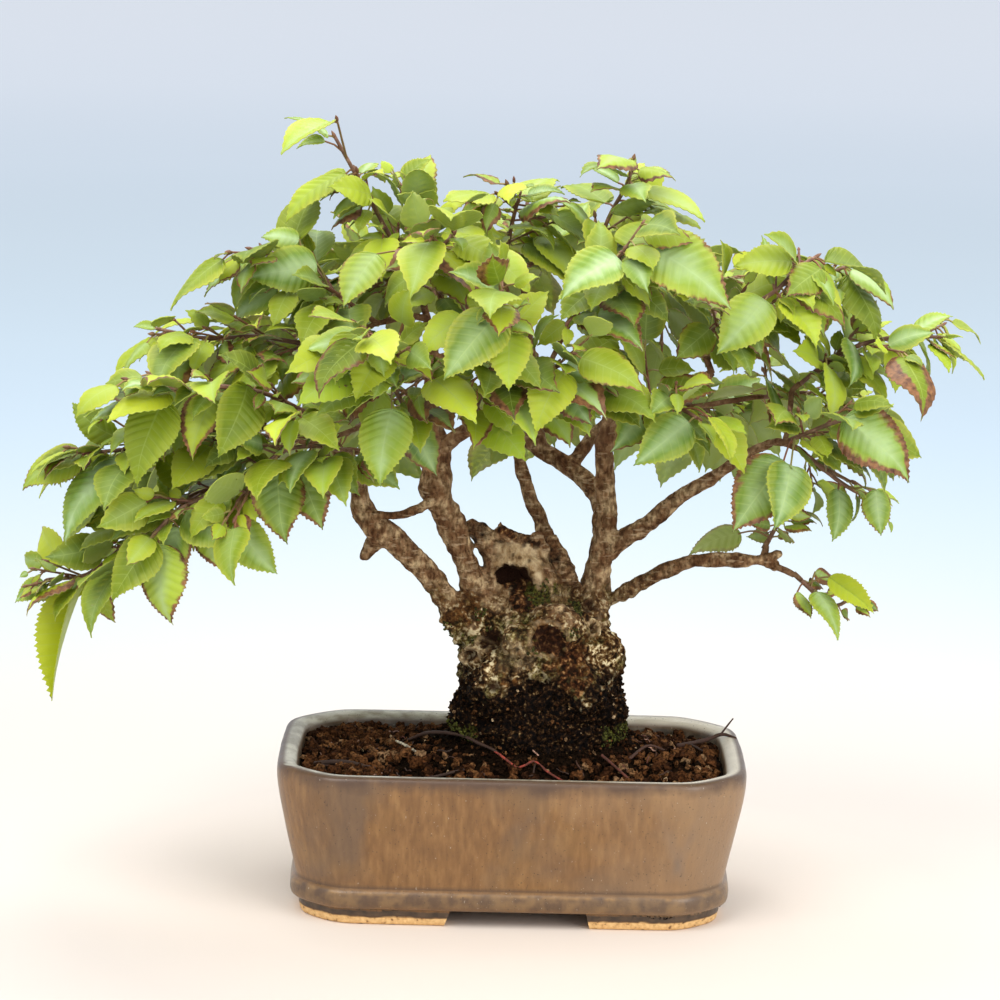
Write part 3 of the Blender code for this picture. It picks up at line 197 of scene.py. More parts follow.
# Leafy sprays: the route of the main twig, then its leading leaves as base and tip
SPRAYS = [
    ("left_tip_high", [(-108, -22, 206), (-133, -30, 205), (-157, -36, 199), (-179, -36, 196)],
     [((-180, -36, 196), (-206, -34, 182)), ((-164, -44, 196), (-188, -56, 163)),
      ((-166, -36, 203), (-186, -30, 216))]),
    ("left_tip_low", [(-119, -14, 183), (-144, -20, 172), (-166, -26, 154), (-180, -28, 143),
                      (-196, -26, 140)],
     [((-179, -30, 142), (-193, -36, 92)), ((-197, -26, 139), (-210, -24, 130)),
      ((-174, -30, 150), (-196, -30, 151))]),
    ("left_front_low", [(-96, -38, 188), (-121, -50, 184), (-139, -58, 177), (-148, -60, 168)],
     [((-139, -60, 177), (-117, -72, 167)), ((-149, -60, 169), (-165, -66, 143)),
      ((-147, -60, 163), (-143, -66, 130)), ((-139, -58, 170), (-130, -66, 145)),
      ((-131, -54, 181), (-128, -60, 155))]),
    ("left_front", [(-83, -40, 213), (-105, -56, 226), (-130, -60, 229), (-151, -56, 225)],
     [((-145, -60, 223), (-156, -70, 189)), ((-111, -62, 230), (-121, -78, 203)),
      ((-124, -60, 228), (-133, -70, 204)), ((-150, -56, 225), (-172, -58, 214))]),
    ("left_upper", [(-80, -10, 238), (-109, -14, 243), (-132, -14, 242), (-151, -12, 245)],
     [((-151, -12, 245), (-160, -12, 246)), ((-132, -16, 242), (-154, -22, 227)),
      ((-113, -20, 240), (-130, -34, 221))]),
    ("left_hanging", [(-69, -34, 199), (-86, -48, 203), (-100, -56, 200), (-114, -58, 182)],
     [((-102, -58, 199), (-105, -70, 168)), ((-90, -54, 202), (-79, -64, 175)),
      ((-115, -58, 173), (-98, -62, 152))]),
    ("left_high", [(-64, -4, 251), (-84, -6, 265), (-101, -6, 276), (-114, -6, 279)],
     [((-112, -6, 279), (-131, -10, 262)), ((-86, -12, 274), (-115, -18, 269)),
      ((-94, -4, 283), (-110, -4, 285))]),
    ("leader", [(-46, 6, 266), (-59, 6, 289), (-71, 4, 310), (-80, 2, 326)],
     [((-80, 2, 326), (-98, -4, 334)), ((-84, 2, 324), (-96, 0, 321)),
      ((-75, 4, 311), (-101, -2, 293)), ((-64, 2, 300), (-85, -2, 304))]),
    ("front_left", [(-47, -46, 219), (-54, -66, 236), (-59, -76, 252), (-67, -80, 259)],
     [((-55, -76, 248), (-66, -92, 230)), ((-52, -70, 223), (-56, -84, 194)),
      ((-63, -78, 256), (-76, -88, 240)), ((-51, -68, 232), (-41, -80, 240))]),
    ("front_middle", [(-18, -50, 221), (-11, -72, 244), (-7, -84, 263), (-9, -84, 274)],
     [((-7, -86, 267), (-28, -100, 242)), ((-5, -86, 257), (-5, -100, 236)),
      ((-12, -74, 242), (-21, -84, 258))]),
    ("front_middle_low", [(6, -42, 224), (12, -62, 237), (15, -72, 244)],
     [((17, -74, 240), (6, -88, 218)), ((14, -66, 236), (28, -78, 219)),
      ((11, -62, 236), (-2, -72, 220))]),
    ("top_left", [(-39, 0, 272), (-42, -4, 290), (-47, -6, 307)],
     [((-51, -6, 309), (-40, -6, 319)), ((-47, -6, 307), (-60, -16, 300)),
      ((-42, -6, 291), (-23, -12, 302))]),
    ("top_front_left", [(-34, -34, 266), (-36, -48, 282), (-29, -54, 292)],
     [((-60, -40, 282), (-73, -52, 261)), ((-34, -54, 281), (-22, -70, 275)),
      ((-29, -54, 291), (-12, -66, 283)), ((-36, -50, 282), (-51, -62, 279))]),
    ("top_middle", [(-8, 4, 275), (-5, 0, 292), (-2, -4, 304)],
     [((-2, -4, 304), (13, -6, 307)), ((-5, -2, 292), (-23, -8, 296)),
      ((-5, -4, 291), (10, -16, 289))]),
    ("top_right", [(31, 0, 279), (35, -6, 295), (42, -8, 309), (44, -8, 315)],
     [((45, -8, 316), (58, -8, 317)), ((42, -10, 309), (31, -8, 315)),
      ((36, -10, 298), (54, -14, 304))]),
    ("front_high", [(21, -44, 258), (31, -60, 275), (40, -68, 289)],
     [((39, -68, 290), (16, -84, 276)), ((41, -68, 288), (27, -84, 267)),
      ((48, -62, 291), (83, -78, 270)), ((31, -64, 274), (15, -76, 261))]),
    ("front_right", [(53, -34, 222), (64, -50, 223), (72, -58, 220)],
     [((72, -60, 221), (50, -70, 205)), ((73, -60, 219), (83, -70, 204)),
      ((64, -54, 224), (72, -62, 240))]),
    ("right_upper", [(74, -20, 247), (89, -32, 260), (103, -38, 270), (113, -36, 280),
                     (120, -32, 284)],
     [((101, -40, 268), (81, -54, 247)), ((106, -40, 267), (121, -50, 249)),
      ((110, -36, 282), (86, -40, 281)), ((121, -34, 278), (100, -44, 277))]),
    ("right_high", [(93, 4, 254), (115, 0, 267), (135, -4, 277)],
     [((136, -4, 276), (153, -8, 249)), ((125, -2, 273), (137, -10, 264)),
      ((100, 2, 261), (100, 4, 287))]),
    ("right_tip", [(118, -4, 227), (134, -8, 241), (153, -10, 248), (174, -10, 249)],
     [((137, -12, 247), (145, -20, 227)), ((161, -10, 248), (177, -8, 256)),
      ((168, -10, 248), (180, -14, 242)), ((174, -10, 249), (193, -14, 235)),
      ((154, -12, 245), (158, -16, 226))]),
    ("right_middle", [(112, -30, 207), (128, -40, 216), (141, -40, 220)],
     [((134, -42, 220), (162, -50, 196)), ((109, -44, 201), (88, -58, 173)),
      ((112, -44, 199), (118, -56, 171)), ((128, -42, 215), (136, -52, 198))]),
    ("right_tip_low", [(121, -12, 198), (136, -16, 187), (150, -18, 180)],
     [((150, -18, 185), (153, -22, 166)), ((154, -18, 184), (163, -20, 168)),
      ((136, -18, 187), (134, -26, 166))]),
    ("right_low", [(121, -12, 144), (128, -14, 138), (135, -16, 134), (144, -16, 139)],
     [((132, -18, 147), (152, -22, 133)), ((127, -20, 141), (138, -27, 121)),
      ((119, -17, 140), (125, -22, 130)), ((127, -8, 147), (137, -7, 141))]),
    ("right_low_up", [(107, -6, 160), (110, -7, 166), (114, -9, 171), (118.5, -10, 175)],
     [((96, 8, 160), (74, 9, 150)), ((107, -11, 167), (97, -13, 168)),
      ((114, -13, 174), (124, -16, 172)), ((113, -12, 167), (124, -16, 167)),
      ((107, -1, 162), (99, 4, 155))]),
    ("rear_left_low", [(-95, 40, 190), (-125, 55, 190), (-152, 62, 178)], []),
    ("rear_left", [(-70, 50, 225), (-95, 75, 232), (-118, 92, 222)], []),
    ("rear_left_hanging", [(-50, 60, 200), (-66, 88, 196), (-76, 108, 180)], []),
    ("rear_middle_low", [(0, 62, 205), (5, 92, 206), (8, 112, 192)], []),
    ("rear_right_hanging", [(60, 56, 205), (80, 82, 204), (92, 102, 190)], []),
    ("rear_right", [(105, 35, 215), (132, 52, 214), (155, 60, 200)], []),
    ("rear_high_left", [(-40, 40, 258), (-62, 66, 264), (-82, 84, 256)], []),
    ("rear_high_middle", [(0, 40, 268), (2, 68, 276), (4, 90, 266)], []),
    ("rear_high_right", [(50, 38, 262), (74, 62, 262), (96, 76, 250)], []),
]


# Outlines, heights, and the plan of the tree

def clamp(value):
    """The value, held between 0 and 1."""
    return max(0.0, min(1.0, value))


def pot_ring(height, inset):
    """The pot's outline: a rectangle with softly cut corners and slightly bowed sides."""
    half_x = POT_HALF_WIDTH - inset
    half_y = POT_HALF_DEPTH - inset
    cut_x = CORNER_CUT_X - 0.5 * inset
    cut_y = CORNER_CUT_Y - 0.5 * inset
    corner = [(half_x, 0), (half_x - 0.35 * SIDE_BOW, half_y - cut_y - CORNER_SOFT),
              (half_x - 0.22 * CORNER_SOFT - SIDE_BOW * 0.5, half_y - cut_y + 0.6 * CORNER_SOFT),
              (half_x - cut_x + 0.7 * CORNER_SOFT, half_y - 0.12 * CORNER_SOFT - 0.5),
              (half_x - cut_x - CORNER_SOFT, half_y - 0.3)]
    quarter = corner + [(0, half_y)]
    right_rear = quarter
    left_rear = [(-x, y) for x, y in reversed(quarter[:-1])]
    left_front = [(-x, -y) for x, y in quarter[1:]]
    right_front = [(x, -y) for x, y in reversed(quarter[1:-1])]
    outline = right_rear + left_rear + left_front + right_front
    return [(x, y, height) for x, y in outline]


def soil_height(x, y):
    """Height of the soil's surface: low at the rim, mounded to the trunk, a little uneven."""
    away = math.hypot((x - STUMP_X) / 85.0, (y - STUMP_Y) / 52.0)
    mound = SOIL_MOUND * max(0.0, 1.0 - away) ** 0.8
    uneven = 1.6 * noise.noise(Vector((x, y, 0)) / 22.0)
    return SOIL_EDGE + mound + uneven - 1.5 * max(0.0, x) / 100.0


def inner_inset(height):
    """How far the pot's inner wall lies inside the rim's outline at a height."""
    steps = sorted(POT_INSIDE[1:])
    for (low, low_inset), (high, high_inset) in zip(steps, steps[1:]):
        if low <= height <= high:
            share = (height - low) / (high - low)
            return low_inset + share * (high_inset - low_inset)
    return steps[-1][1]


def along(route, share):
    """The point and the direction at a share of a route's length."""
    steps = [(b - a).length for a, b in zip(route, route[1:])]
    left = share * sum(steps)
    for a, b, step in zip(route, route[1:], steps):
        if left <= step:
            return a.lerp(b, left / step), (b - a).normalized()
        left -= step
    return route[-1].copy(), (route[-1] - route[-2]).normalized()


def route_length(route):
    """The length of a route of straight steps."""
    return sum((b - a).length for a, b in zip(route, route[1:]))


def nearest_on(route, place):
    """The point of a route nearest to a place, kept a little inside its two ends."""
    best = None
    ends = [route[0], route[-1]]
    ends[0] = route[0] + (route[1] - route[0]).normalized() * ROOT_SINK
    ends[1] = route[-1] + (route[-2] - route[-1]).normalized() * ROOT_SINK
    inner = [ends[0]] + route[1:-1] + [ends[1]]
    for a, b in zip(inner, inner[1:]):
        run = b - a
        share = clamp((place - a).dot(run) / run.length_squared)
        point = a + run * share
        if best is None or (point - place).length < (best - place).length:
            best = point
    return best


def outward(place):
    """The direction away from the crown's middle, square to its ellipsoid."""
    rel = place - CROWN_MIDDLE
    return Vector([rel[i] / CROWN_HALF[i] ** 2 for i in range(3)]).normalized()


def tube_hull(route, radii, extra):
    """A four-sided hull round a tube, for clearance tests."""
    verts = []
    for i, (place, radius) in enumerate(zip(route, radii)):
        ahead = (route[min(i + 1, len(route) - 1)] - route[max(i - 1, 0)]).normalized()
        side = ahead.cross(UP if abs(ahead.z) < 0.9 else Vector((1, 0, 0))).normalized()
        rise = side.cross(ahead)
        reach = (radius + extra) * 1.2
        verts += [place + side * reach, place + rise * reach, place - side * reach,
                  place - rise * reach]
    return verts, ring_faces(len(verts) // 4, 4)


def blade_rows(leaf):
    """Pairs of edge points from the petiole's root to the tip, and the tip itself."""
    root, base, tip, normal, half_width = (leaf["root"], leaf["base"], leaf["tip"],
                                           leaf["normal"], leaf["half_width"])
    length = (tip - base).length
    ahead = (tip - base).normalized()
    side = ahead.cross(normal).normalized()
    rows = [(root, side, PETIOLE_HALF_WIDTH)]
    for share, width in leaf["outline"]:
        lift = leaf["arch"] * length * 4 * share * (1 - share)
        rows.append((base + ahead * length * share + normal * lift, side,
                     max(width * half_width, PETIOLE_HALF_WIDTH)))
    pairs = [(place - across * width, place + across * width) for place, across, width in rows]
    return pairs, tip


def blade_solid(leaf, half_thickness, grow=0.0):
    """A thin arched prism on the leaf's outline; all its faces are flat."""
    pairs, tip = blade_rows(leaf)
    side = (pairs[-1][1] - pairs[-1][0]).normalized()
    lift = leaf["normal"] * half_thickness
    flat = []
    for left, right in pairs:
        flat += [left - side * grow, right + side * grow]
    flat.append(tip + (tip - leaf["base"]).normalized() * grow)
    count = len(flat)
    verts = [place + lift for place in flat] + [place - lift for place in flat]
    top = [(i, i + 1, i + 3, i + 2) for i in range(0, count - 3, 2)]
    top.append((count - 3, count - 2, count - 1))
    faces = top + [tuple(corner + count for corner in reversed(face)) for face in top]
    edge = list(range(0, count - 1, 2)) + [count - 1] + list(range(count - 2, 0, -2))
    faces += [(a, b, b + count, a + count) for a, b in zip(edge, edge[1:] + edge[:1])]
    return verts, faces


class Space:
    """What is already planned, so that new leaves and twigs keep clear of it."""

    def __init__(self):
        self.items = []

    @staticmethod
    def ball(verts):
        middle = sum(verts, Vector()) / len(verts)
        return middle, max((vert - middle).length for vert in verts)

    def add(self, owner, kind, verts, faces):
        middle, reach = self.ball(verts)
        tree = BVHTree.FromPolygons(verts, faces)
        self.items.append((owner, kind, middle, reach, tree))

    def clear(self, owner, verts, faces, ignore=()):
        """True where a shape crosses nothing, but for its owner's kinds named in ignore."""
        middle, reach = self.ball(verts)
        tree = BVHTree.FromPolygons(verts, faces)
        for other, kind, other_middle, other_reach, other_tree in self.items:
            if other == owner and kind in ignore:
                continue
            if (other_middle - middle).length > other_reach + reach:
                continue
            if tree.overlap(other_tree):
                return False
        return True


def make_leaf(root, base, tip, facing, leading):
    """A leaf as data. It is turned on its midrib so the petiole doesn't pierce the blade."""
    ahead = (tip - base).normalized()
    petiole = (base - root).normalized()
    normal = facing - petiole * facing.dot(petiole) * 0.7
    normal = (normal - ahead * normal.dot(ahead)).normalized()
    return {"root": root, "base": base, "tip": tip, "normal": normal, "arch": 0.07,
            "half_width": 0.5 * LEAF_WIDTH_RATIO * (tip - base).length,
            "outline": LEADING_OUTLINE if leading else FILL_OUTLINE, "leading": leading,
            "steepness": abs(normal.dot(petiole)), "doubling": -ahead.dot(petiole)}


def leaf_fits(space, owner, leaf):
    """The whole leaf clears all but its own twigs, and its blade clears those too."""
    if leaf["steepness"] > 0.75 or leaf["doubling"] > 0.3:
        return False
    verts, faces = blade_solid(leaf, BLADE_THICKNESS / 2 + BLADE_CLEAR, BLADE_CLEAR)
    if not space.clear(owner, verts, faces, ignore=("twig",)):
        return False
    blade = dict(leaf, root=leaf["root"].lerp(leaf["base"], 0.9))
    verts, faces = blade_solid(blade, BLADE_THICKNESS / 2 + 0.1, 0.1)
    return space.clear(owner, verts, faces)


def keep_leaf(space, spray, leaf):
    """Keeps a leaf; its root is set off a hair, so that no two roots have an edge in common."""
    turn = len(spray["leaves"])
    hair = Vector((math.sin(2.4 * turn), math.cos(1.7 * turn), math.sin(3.1 * turn + 1.0)))
    leaf["root"] = leaf["root"] + hair * ROOT_OFFSET
    verts, faces = blade_solid(leaf, BLADE_THICKNESS / 2)
    space.add(spray["name"], "leaf", verts, faces)
    spray["leaves"].append(leaf)


def petiole_roots(route, base, tip):
    """Where on the twig a leaf's petiole can start: the best place and two beside it."""
    ahead = (tip - base).normalized()

    def cost(point):
        run = base - point
        return run.length + 14 * max(0.0, 0.4 - run.normalized().dot(ahead))

    spots = [nearest_on(route, base)] + [along(route, 0.04 + 0.92 * k / 14)[0] for k in range(15)]
    chosen = []
    for spot in sorted(spots, key=cost):
        if all((spot - other).length > PETIOLE_SPACING for other in chosen):
            chosen.append(spot)
    return chosen[:3]


def lead_leaf(space, spray, base, tip):
    """One leading leaf, pushed out or swung a little until it clears its neighbours."""
    away = outward(base)
    tries = product((0, 2, 4, 6, 9, 12), range(3), (0, -15, 15, -30, 30), (0.0, 0.6, -0.6))
    for push, choice, swing, tilt in tries:
        low = base + away * push + Vector((0, -0.4 * push, 0))
        run = tip - base
        run.rotate(Quaternion(away, math.radians(swing)))
        roots = petiole_roots(spray["route"], low, low + run)
        root = roots[min(choice, len(roots) - 1)]
        if (low - root).length < PETIOLE_LENGTH:
            low = root + run.normalized() * PETIOLE_LENGTH
        facing = away * 0.7 + UP * 0.45 + Vector((0, -0.35, 0))
        facing += run.cross(away).normalized() * tilt
        leaf = make_leaf(root, low, low + run, facing, True)
        if leaf_fits(space, spray["name"], leaf):
            keep_leaf(space, spray, leaf)
            return


def side_twigs(space, spray, rng):
    """Side twigs, left and right in turn along the main twig."""
    route = spray["route"]
    count = max(2, round(route_length(route) / 20))
    for k in range(count):
        place, ahead = along(route, (k + 0.55) / count)
        side = ahead.cross(UP).normalized() * (1 if k % 2 else -1)
        for tries in range(TWIG_TRIES):
            aim = (ahead * 0.7 + side * rng.uniform(0.6, 1.0) + UP * rng.uniform(-0.3, 0.35))
            length = rng.uniform(15, 24) * (1 - 0.08 * tries)
            aim = aim.normalized() * length
            twig = [place, place + aim]
            radii = SIDE_TWIG_RADII
            if space.clear(spray["name"], *tube_hull(twig, radii, BLADE_CLEAR), ("twig",)):
                space.add(spray["name"], "twig", *tube_hull(twig, radii, 0))
                spray["sides"].append((twig, radii))
                break


def leaf_stations(spray):
    """Where fill leaves grow: tips first, then along the side twigs and the main twig."""
    stations = []
    for twig, _ in spray["sides"]:
        stations.append((*along(twig, 1.0), 0))
    stations.append((*along(spray["route"], 1.0), 0))
    for twig, _ in spray["sides"]:
        stations.append((*along(twig, 0.55), 1))
    count = max(2, round(route_length(spray["route"]) / 14))
    for k in range(count):
        stations.append((*along(spray["route"], (k + 0.7) / (count + 0.4)), 1 if k % 2 else -1))
    return stations


def fill_leaf(place, ahead, hand, rng):
    """A leaf that looks outward and down, to the left, right or end of its twig."""
    away = outward(place)
    side = ahead.cross(UP).normalized()
    level = Vector((away.x, away.y, 0))
    turn = hand * rng.uniform(0.5, 1.0) if hand else rng.uniform(-0.4, 0.4)
    aim = (ahead * rng.uniform(0.4, 0.9) + side * turn + level * rng.uniform(0.1, 0.6)
           - UP * rng.uniform(0.25, 1.0)).normalized()
    length = rng.uniform(23, 33)
    base = place + aim * rng.uniform(3.0, 5.0)
    facing = away + UP * rng.uniform(0.2, 0.8) + side * rng.uniform(-0.4, 0.4)
    root = place - ahead * (0 if hand else ROOT_SINK)
    return make_leaf(root, base, base + aim * length, facing, False)


def fill_leaves(space, spray, rng, limit):
    """Fill leaves up to a number, each tried some times at its place."""
    kept = 0
    for place, ahead, hand in leaf_stations(spray):
        if kept == limit:
            break
        for _ in range(FILL_TRIES):
            leaf = fill_leaf(place, ahead, hand, rng)
            if leaf_fits(space, spray["name"], leaf):
                keep_leaf(space, spray, leaf)
                kept += 1
                break


def scaffold_points():
    """Points on the wood that a branch can grow from, with the way along the wood so far."""
    points = []
    starts = {"left_low_tip": 150, "left_loop": 120, "left_main_up": 100, "left_main_front": 100,
              "middle_up": 70, "right_main_up": 95, "right_main_side": 90,
              "right_high_tip": 120, "right_low_tip": 110, "rear_left": 80, "rear_right": 80,
              "rear_up": 80}
    for name, way in starts.items():
        route = [Vector(point[:3]) for point in BRANCHES[name]]
        radii = [point[3] for point in BRANCHES[name]]
        length = route_length(route)
        for k in range(7):
            place, ahead = along(route, k / 6)
            radius = radii[0] + (radii[-1] - radii[0]) * k / 6
            points.append((place, ahead, way + length * k / 6, radius))
    return points


def branch_to(root, ahead, points):
    """A curved branch from the best point on the wood to the start of a spray."""
    def cost(point):
        run = root - point[0]
        back = max(0.0, -run.dot(ahead))
        return run.length + 0.15 * point[2] + 2.0 * back + 0.8 * max(0.0, -run.z)

    place, along_wood, way, radius = min(points, key=cost)
    run = root - place
    lean = (along_wood * 0.4 + run.normalized() + UP * 0.15).normalized()
    first = place + lean * run.length * 0.35
    second = root - ahead * run.length * 0.33
    route = []
    for share in (0.0, 0.3, 0.65):
        back = 1 - share
        route.append(place * back ** 3 + first * 3 * share * back ** 2
                     + second * 3 * share ** 2 * back + root * share ** 3)
    route += [root - ahead * 4.0, root.copy()]
    start = min(radius * 0.85, 2.2)
    radii = [start + (BRANCH_END_RADIUS - start) * k / 4 for k in range(5)]
    for k in range(1, 4):
        points.append((route[k], (route[k + 1] - route[k]).normalized(),
                       way + run.length * k / 4, radii[k]))
    return route, radii


def rooted_sprays(points):
    """The sprays in the table's order, and a branch to each; the nearest ones branch off first."""
    sprays, branches = [], []
    for name, stops, leaders in SPRAYS:
        route = [Vector(stop) for stop in stops]
        sprays.append({"name": name, "route": route, "sides": [], "leaves": [],
                       "leaders": leaders})
    order = sorted(sprays, key=lambda spray: min((spray["route"][0] - point[0]).length
                                                 for point in points))
    for spray in order:
        root = spray["route"][0]
        ahead = (spray["route"][1] - root).normalized()
        branches.append(branch_to(root, ahead, points))
        spray["route"][0] = root + ahead * FIT
    return sprays, branches


def fill_space(space, sprays, branches):
    """Enters the wood and the main twigs, which every leaf has to clear."""
    for name, wood in list(LIMBS.items()) + list(BRANCHES.items()):
        route = [Vector(point[:3]) for point in wood]
        space.add(name, "wood", *tube_hull(route, [point[3] for point in wood], 1.0))
    for route, radii in branches:
        space.add("branch", "wood", *tube_hull(route[:-1], radii, 0.4))
    for spray in sprays:
        count = len(spray["route"])
        spray["radii"] = [TWIG_RADII[0] + (TWIG_RADII[1] - TWIG_RADII[0]) * k / (count - 1)
                          for k in range(count)]
        hull = tube_hull(spray["route"], spray["radii"], BLADE_CLEAR)
        space.add(spray["name"], "twig", *hull)


def plan_tree():
    """The whole tree as data: wood tubes, sprays, side twigs and leaves."""
    space = Space()
    sprays, branches = rooted_sprays(scaffold_points())
    fill_space(space, sprays, branches)
    for spray in sprays:
        for base, tip in spray["leaders"]:
            lead_leaf(space, spray, Vector(base), Vector(tip))
    for number, spray in enumerate(sprays):
        if spray["name"] in SPARSE_SPRAYS:
            continue
        rng = random.Random(SEED * 1000 + number)
        side_twigs(space, spray, rng)
        limit = max(LEAST_FILL_LEAVES, LEAVES_PER_SPRAY - len(spray["leaders"]))
        fill_leaves(space, spray, rng, limit)
    return space, sprays, branches


def stump_shape():
    """The stump's round masses and its foot as overlapping closed shapes."""
    shape = bmesh.new()
    for middle, halves in STUMP_MASSES:
        made = bmesh.ops.create_uvsphere(shape, u_segments=20, v_segments=12, radius=MM)
        bmesh.ops.scale(shape, verts=made["verts"], vec=halves)
        bmesh.ops.translate(shape, verts=made["verts"], vec=Vector(middle) * MM)
    made = bmesh.ops.create_cone(shape, cap_ends=True, segments=28, radius1=MM, radius2=MM,
                                 depth=(STUMP_TOP - STUMP_BOTTOM) * MM)
    bmesh.ops.scale(shape, verts=made["verts"], vec=(STUMP_HALF_WIDTH, STUMP_HALF_DEPTH, 1))
    bmesh.ops.translate(shape, verts=made["verts"],
                        vec=Vector((STUMP_X, STUMP_Y, (STUMP_TOP + STUMP_BOTTOM) / 2 - 3)) * MM)
    return shape


def keep_largest_body(mesh):
    """Drops loose scraps, so that one closed body is left."""
    shape = bmesh.new()
    shape.from_mesh(mesh)
    unseen = set(shape.verts)
    bodies = []
    while unseen:
        stack = [unseen.pop()]
        body = list(stack)
        while stack:
            for edge in stack.pop().link_edges:
                for vert in edge.verts:
                    if vert in unseen:
                        unseen.remove(vert)
                        stack.append(vert)
                        body.append(vert)
        bodies.append(body)
    bodies.sort(key=len)
    for body in bodies[:-1]:
        bmesh.ops.delete(shape, geom=body, context='VERTS')
    shape.to_mesh(mesh)
    shape.free()


def cut_flat(mesh, height):
    """Cuts the mesh level at a height and closes it with a flat bottom."""
    shape = bmesh.new()
    shape.from_mesh(mesh)
    geometry = shape.verts[:] + shape.edges[:] + shape.faces[:]
    bmesh.ops.bisect_plane(shape, geom=geometry, plane_co=UP * height * MM, plane_no=-UP,
                           clear_outer=True)
    border = [edge for edge in shape.edges if edge.is_boundary]
    bmesh.ops.holes_fill(shape, edges=border)
    bmesh.ops.recalc_face_normals(shape, faces=shape.faces)
    shape.to_mesh(mesh)
    shape.free()


# Meshes from points and faces

# Edges that bend more than this stay sharp, in degrees: in general, on the pot, on the grains
SHARP = 60
POT_SHARP = 42
GRAIN_SHARP = 32


def show(name, data):
    """Puts a mesh, lamp or camera into the scene."""
    item = bpy.data.objects.new(name, data)
    bpy.context.scene.collection.objects.link(item)
    return item


def paint(mesh, look):
    """Gives the whole mesh one material and smooth shading."""
    mesh.materials.clear()
    mesh.materials.append(look)
    mesh.polygons.foreach_set("use_smooth", [True] * len(mesh.polygons))


def ring_faces(rings, sides):
    """Faces between rings of points, each ring joined to the next one."""
    faces = []
    for i in range(rings - 1):
        for k in range(sides):
            j = (k + 1) % sides
            faces.append((i * sides + k, i * sides + j, (i + 1) * sides + j, (i + 1) * sides + k))
    return faces


class Soup:
    """Collects points, faces and values per point, and makes one mesh of them."""

    def __init__(self, *names):
        self.names = names
        self.points, self.faces, self.looks, self.values = [], [], [], []
        self.count = 0

    def add(self, points, faces, look=0, values=None):
        """values: one row of numbers per point, or one row for all of them."""
        points = np.asarray(points, float).reshape(-1, 3)
        self.faces += [tuple(corner + self.count for corner in face) for face in faces]
        self.looks += [look] * len(faces)
        width = 3 * len(self.names)
        rows = np.zeros((len(points), width)) if values is None else np.asarray(values, float)
        if rows.ndim == 1:
            rows = np.tile(rows, (len(points), 1))
        if rows.shape[1] < width:
            rows = np.hstack([rows, np.zeros((len(points), width - rows.shape[1]))])
        self.points.append(points)
        self.values.append(rows)
        self.count += len(points)

    def make(self, name, looks, sharp_angle=SHARP):
        """The piece, in metres and in the row's frame, with its values as attributes."""
        points = np.vstack(self.points) * MM + np.array(SHIFT)
        mesh = bpy.data.meshes.new(name)
        mesh.from_pydata(points.tolist(), [], self.faces)
        mesh.validate()
        for look in looks:
            mesh.materials.append(look)
        mesh.polygons.foreach_set("material_index", self.looks)
        mesh.polygons.foreach_set("use_smooth", [True] * len(self.faces))
        values = np.vstack(self.values)
        for i, label in enumerate(self.names):
            layer = mesh.attributes.new(label, 'FLOAT_VECTOR', 'POINT')
            layer.data.foreach_set("vector", values[:, 3 * i:3 * i + 3].astype(np.float32).ravel())
        mesh.set_sharp_from_angle(angle=math.radians(sharp_angle))
        return show(name, mesh)


def finish_piece(piece, slot, *nodes):
    """Says what carries the piece and hides the solids it stands for; the slot argument is not used.
    """
    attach(piece, "root")
    if nodes:
        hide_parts(*nodes)
    return piece


def smooth_route(route, radii, step):
    """More points on a smooth curve through a route, with radii between."""
    points = [np.array(point, float) for point in route]
    places, sizes = [], []
    for i in range(len(points) - 1):
        a, b = points[i], points[i + 1]
        before = points[i - 1] if i else a * 2 - b
        after = points[i + 2] if i + 2 < len(points) else b * 2 - a
        count = max(1, int(round(np.linalg.norm(b - a) / step)))
        for k in range(count):
            t = k / count
            place = 0.5 * (2 * a + (b - before) * t + (2 * before - 5 * a + 4 * b - after) * t * t
                           + (3 * a - before - 3 * b + after) * t ** 3)
            places.append(place)
            sizes.append(radii[i] + (radii[i + 1] - radii[i]) * t)
    return np.array(places + [points[-1]]), np.array(sizes + [radii[-1]])


def pipe(route, radii, sides, rough=0.0, grain=4.0):
    """Points and faces of a closed round tube with rounded ends; rough is its lumpiness."""
    count = len(route)
    ahead = np.gradient(route, axis=0)
    ahead /= np.linalg.norm(ahead, axis=1)[:, None] + 1e-12
    start = np.array([0.3, 0.2, 1.0]) if abs(ahead[0][2]) < 0.8 else np.array([1.0, 0.2, 0.1])
    points = []
    for i in range(count):
        side = np.cross(ahead[i], start)
        side /= np.linalg.norm(side)
        start = np.cross(side, ahead[i])
        for k in range(sides):
            turn = 2 * math.pi * k / sides
            ray = side * math.cos(turn) + start * math.sin(turn)
            reach = radii[i]
            if rough:
                reach *= 1 + rough * noise.noise(Vector(route[i] + ray * radii[i]) / grain)
            points.append(route[i] + ray * reach)
    points.append(route[0] - ahead[0] * radii[0] * 0.6)
    points.append(route[-1] + ahead[-1] * radii[-1] * 0.6)
    faces = ring_faces(count, sides)
    first, last = count * sides, count * sides + 1
    for k in range(sides):
        j = (k + 1) % sides
        faces.append((first, j, k))
        faces.append((last, (count - 1) * sides + k, (count - 1) * sides + j))
    return np.array(points), faces


def ball_template(subdivisions):
    """Points and faces of a ball of radius 1."""
    shape = bmesh.new()
    bmesh.ops.create_icosphere(shape, subdivisions=subdivisions, radius=1.0)
    points = np.array([vert.co[:] for vert in shape.verts])
    faces = [tuple(vert.index for vert in face.verts) for face in shape.faces]
    shape.free()
    return points, faces


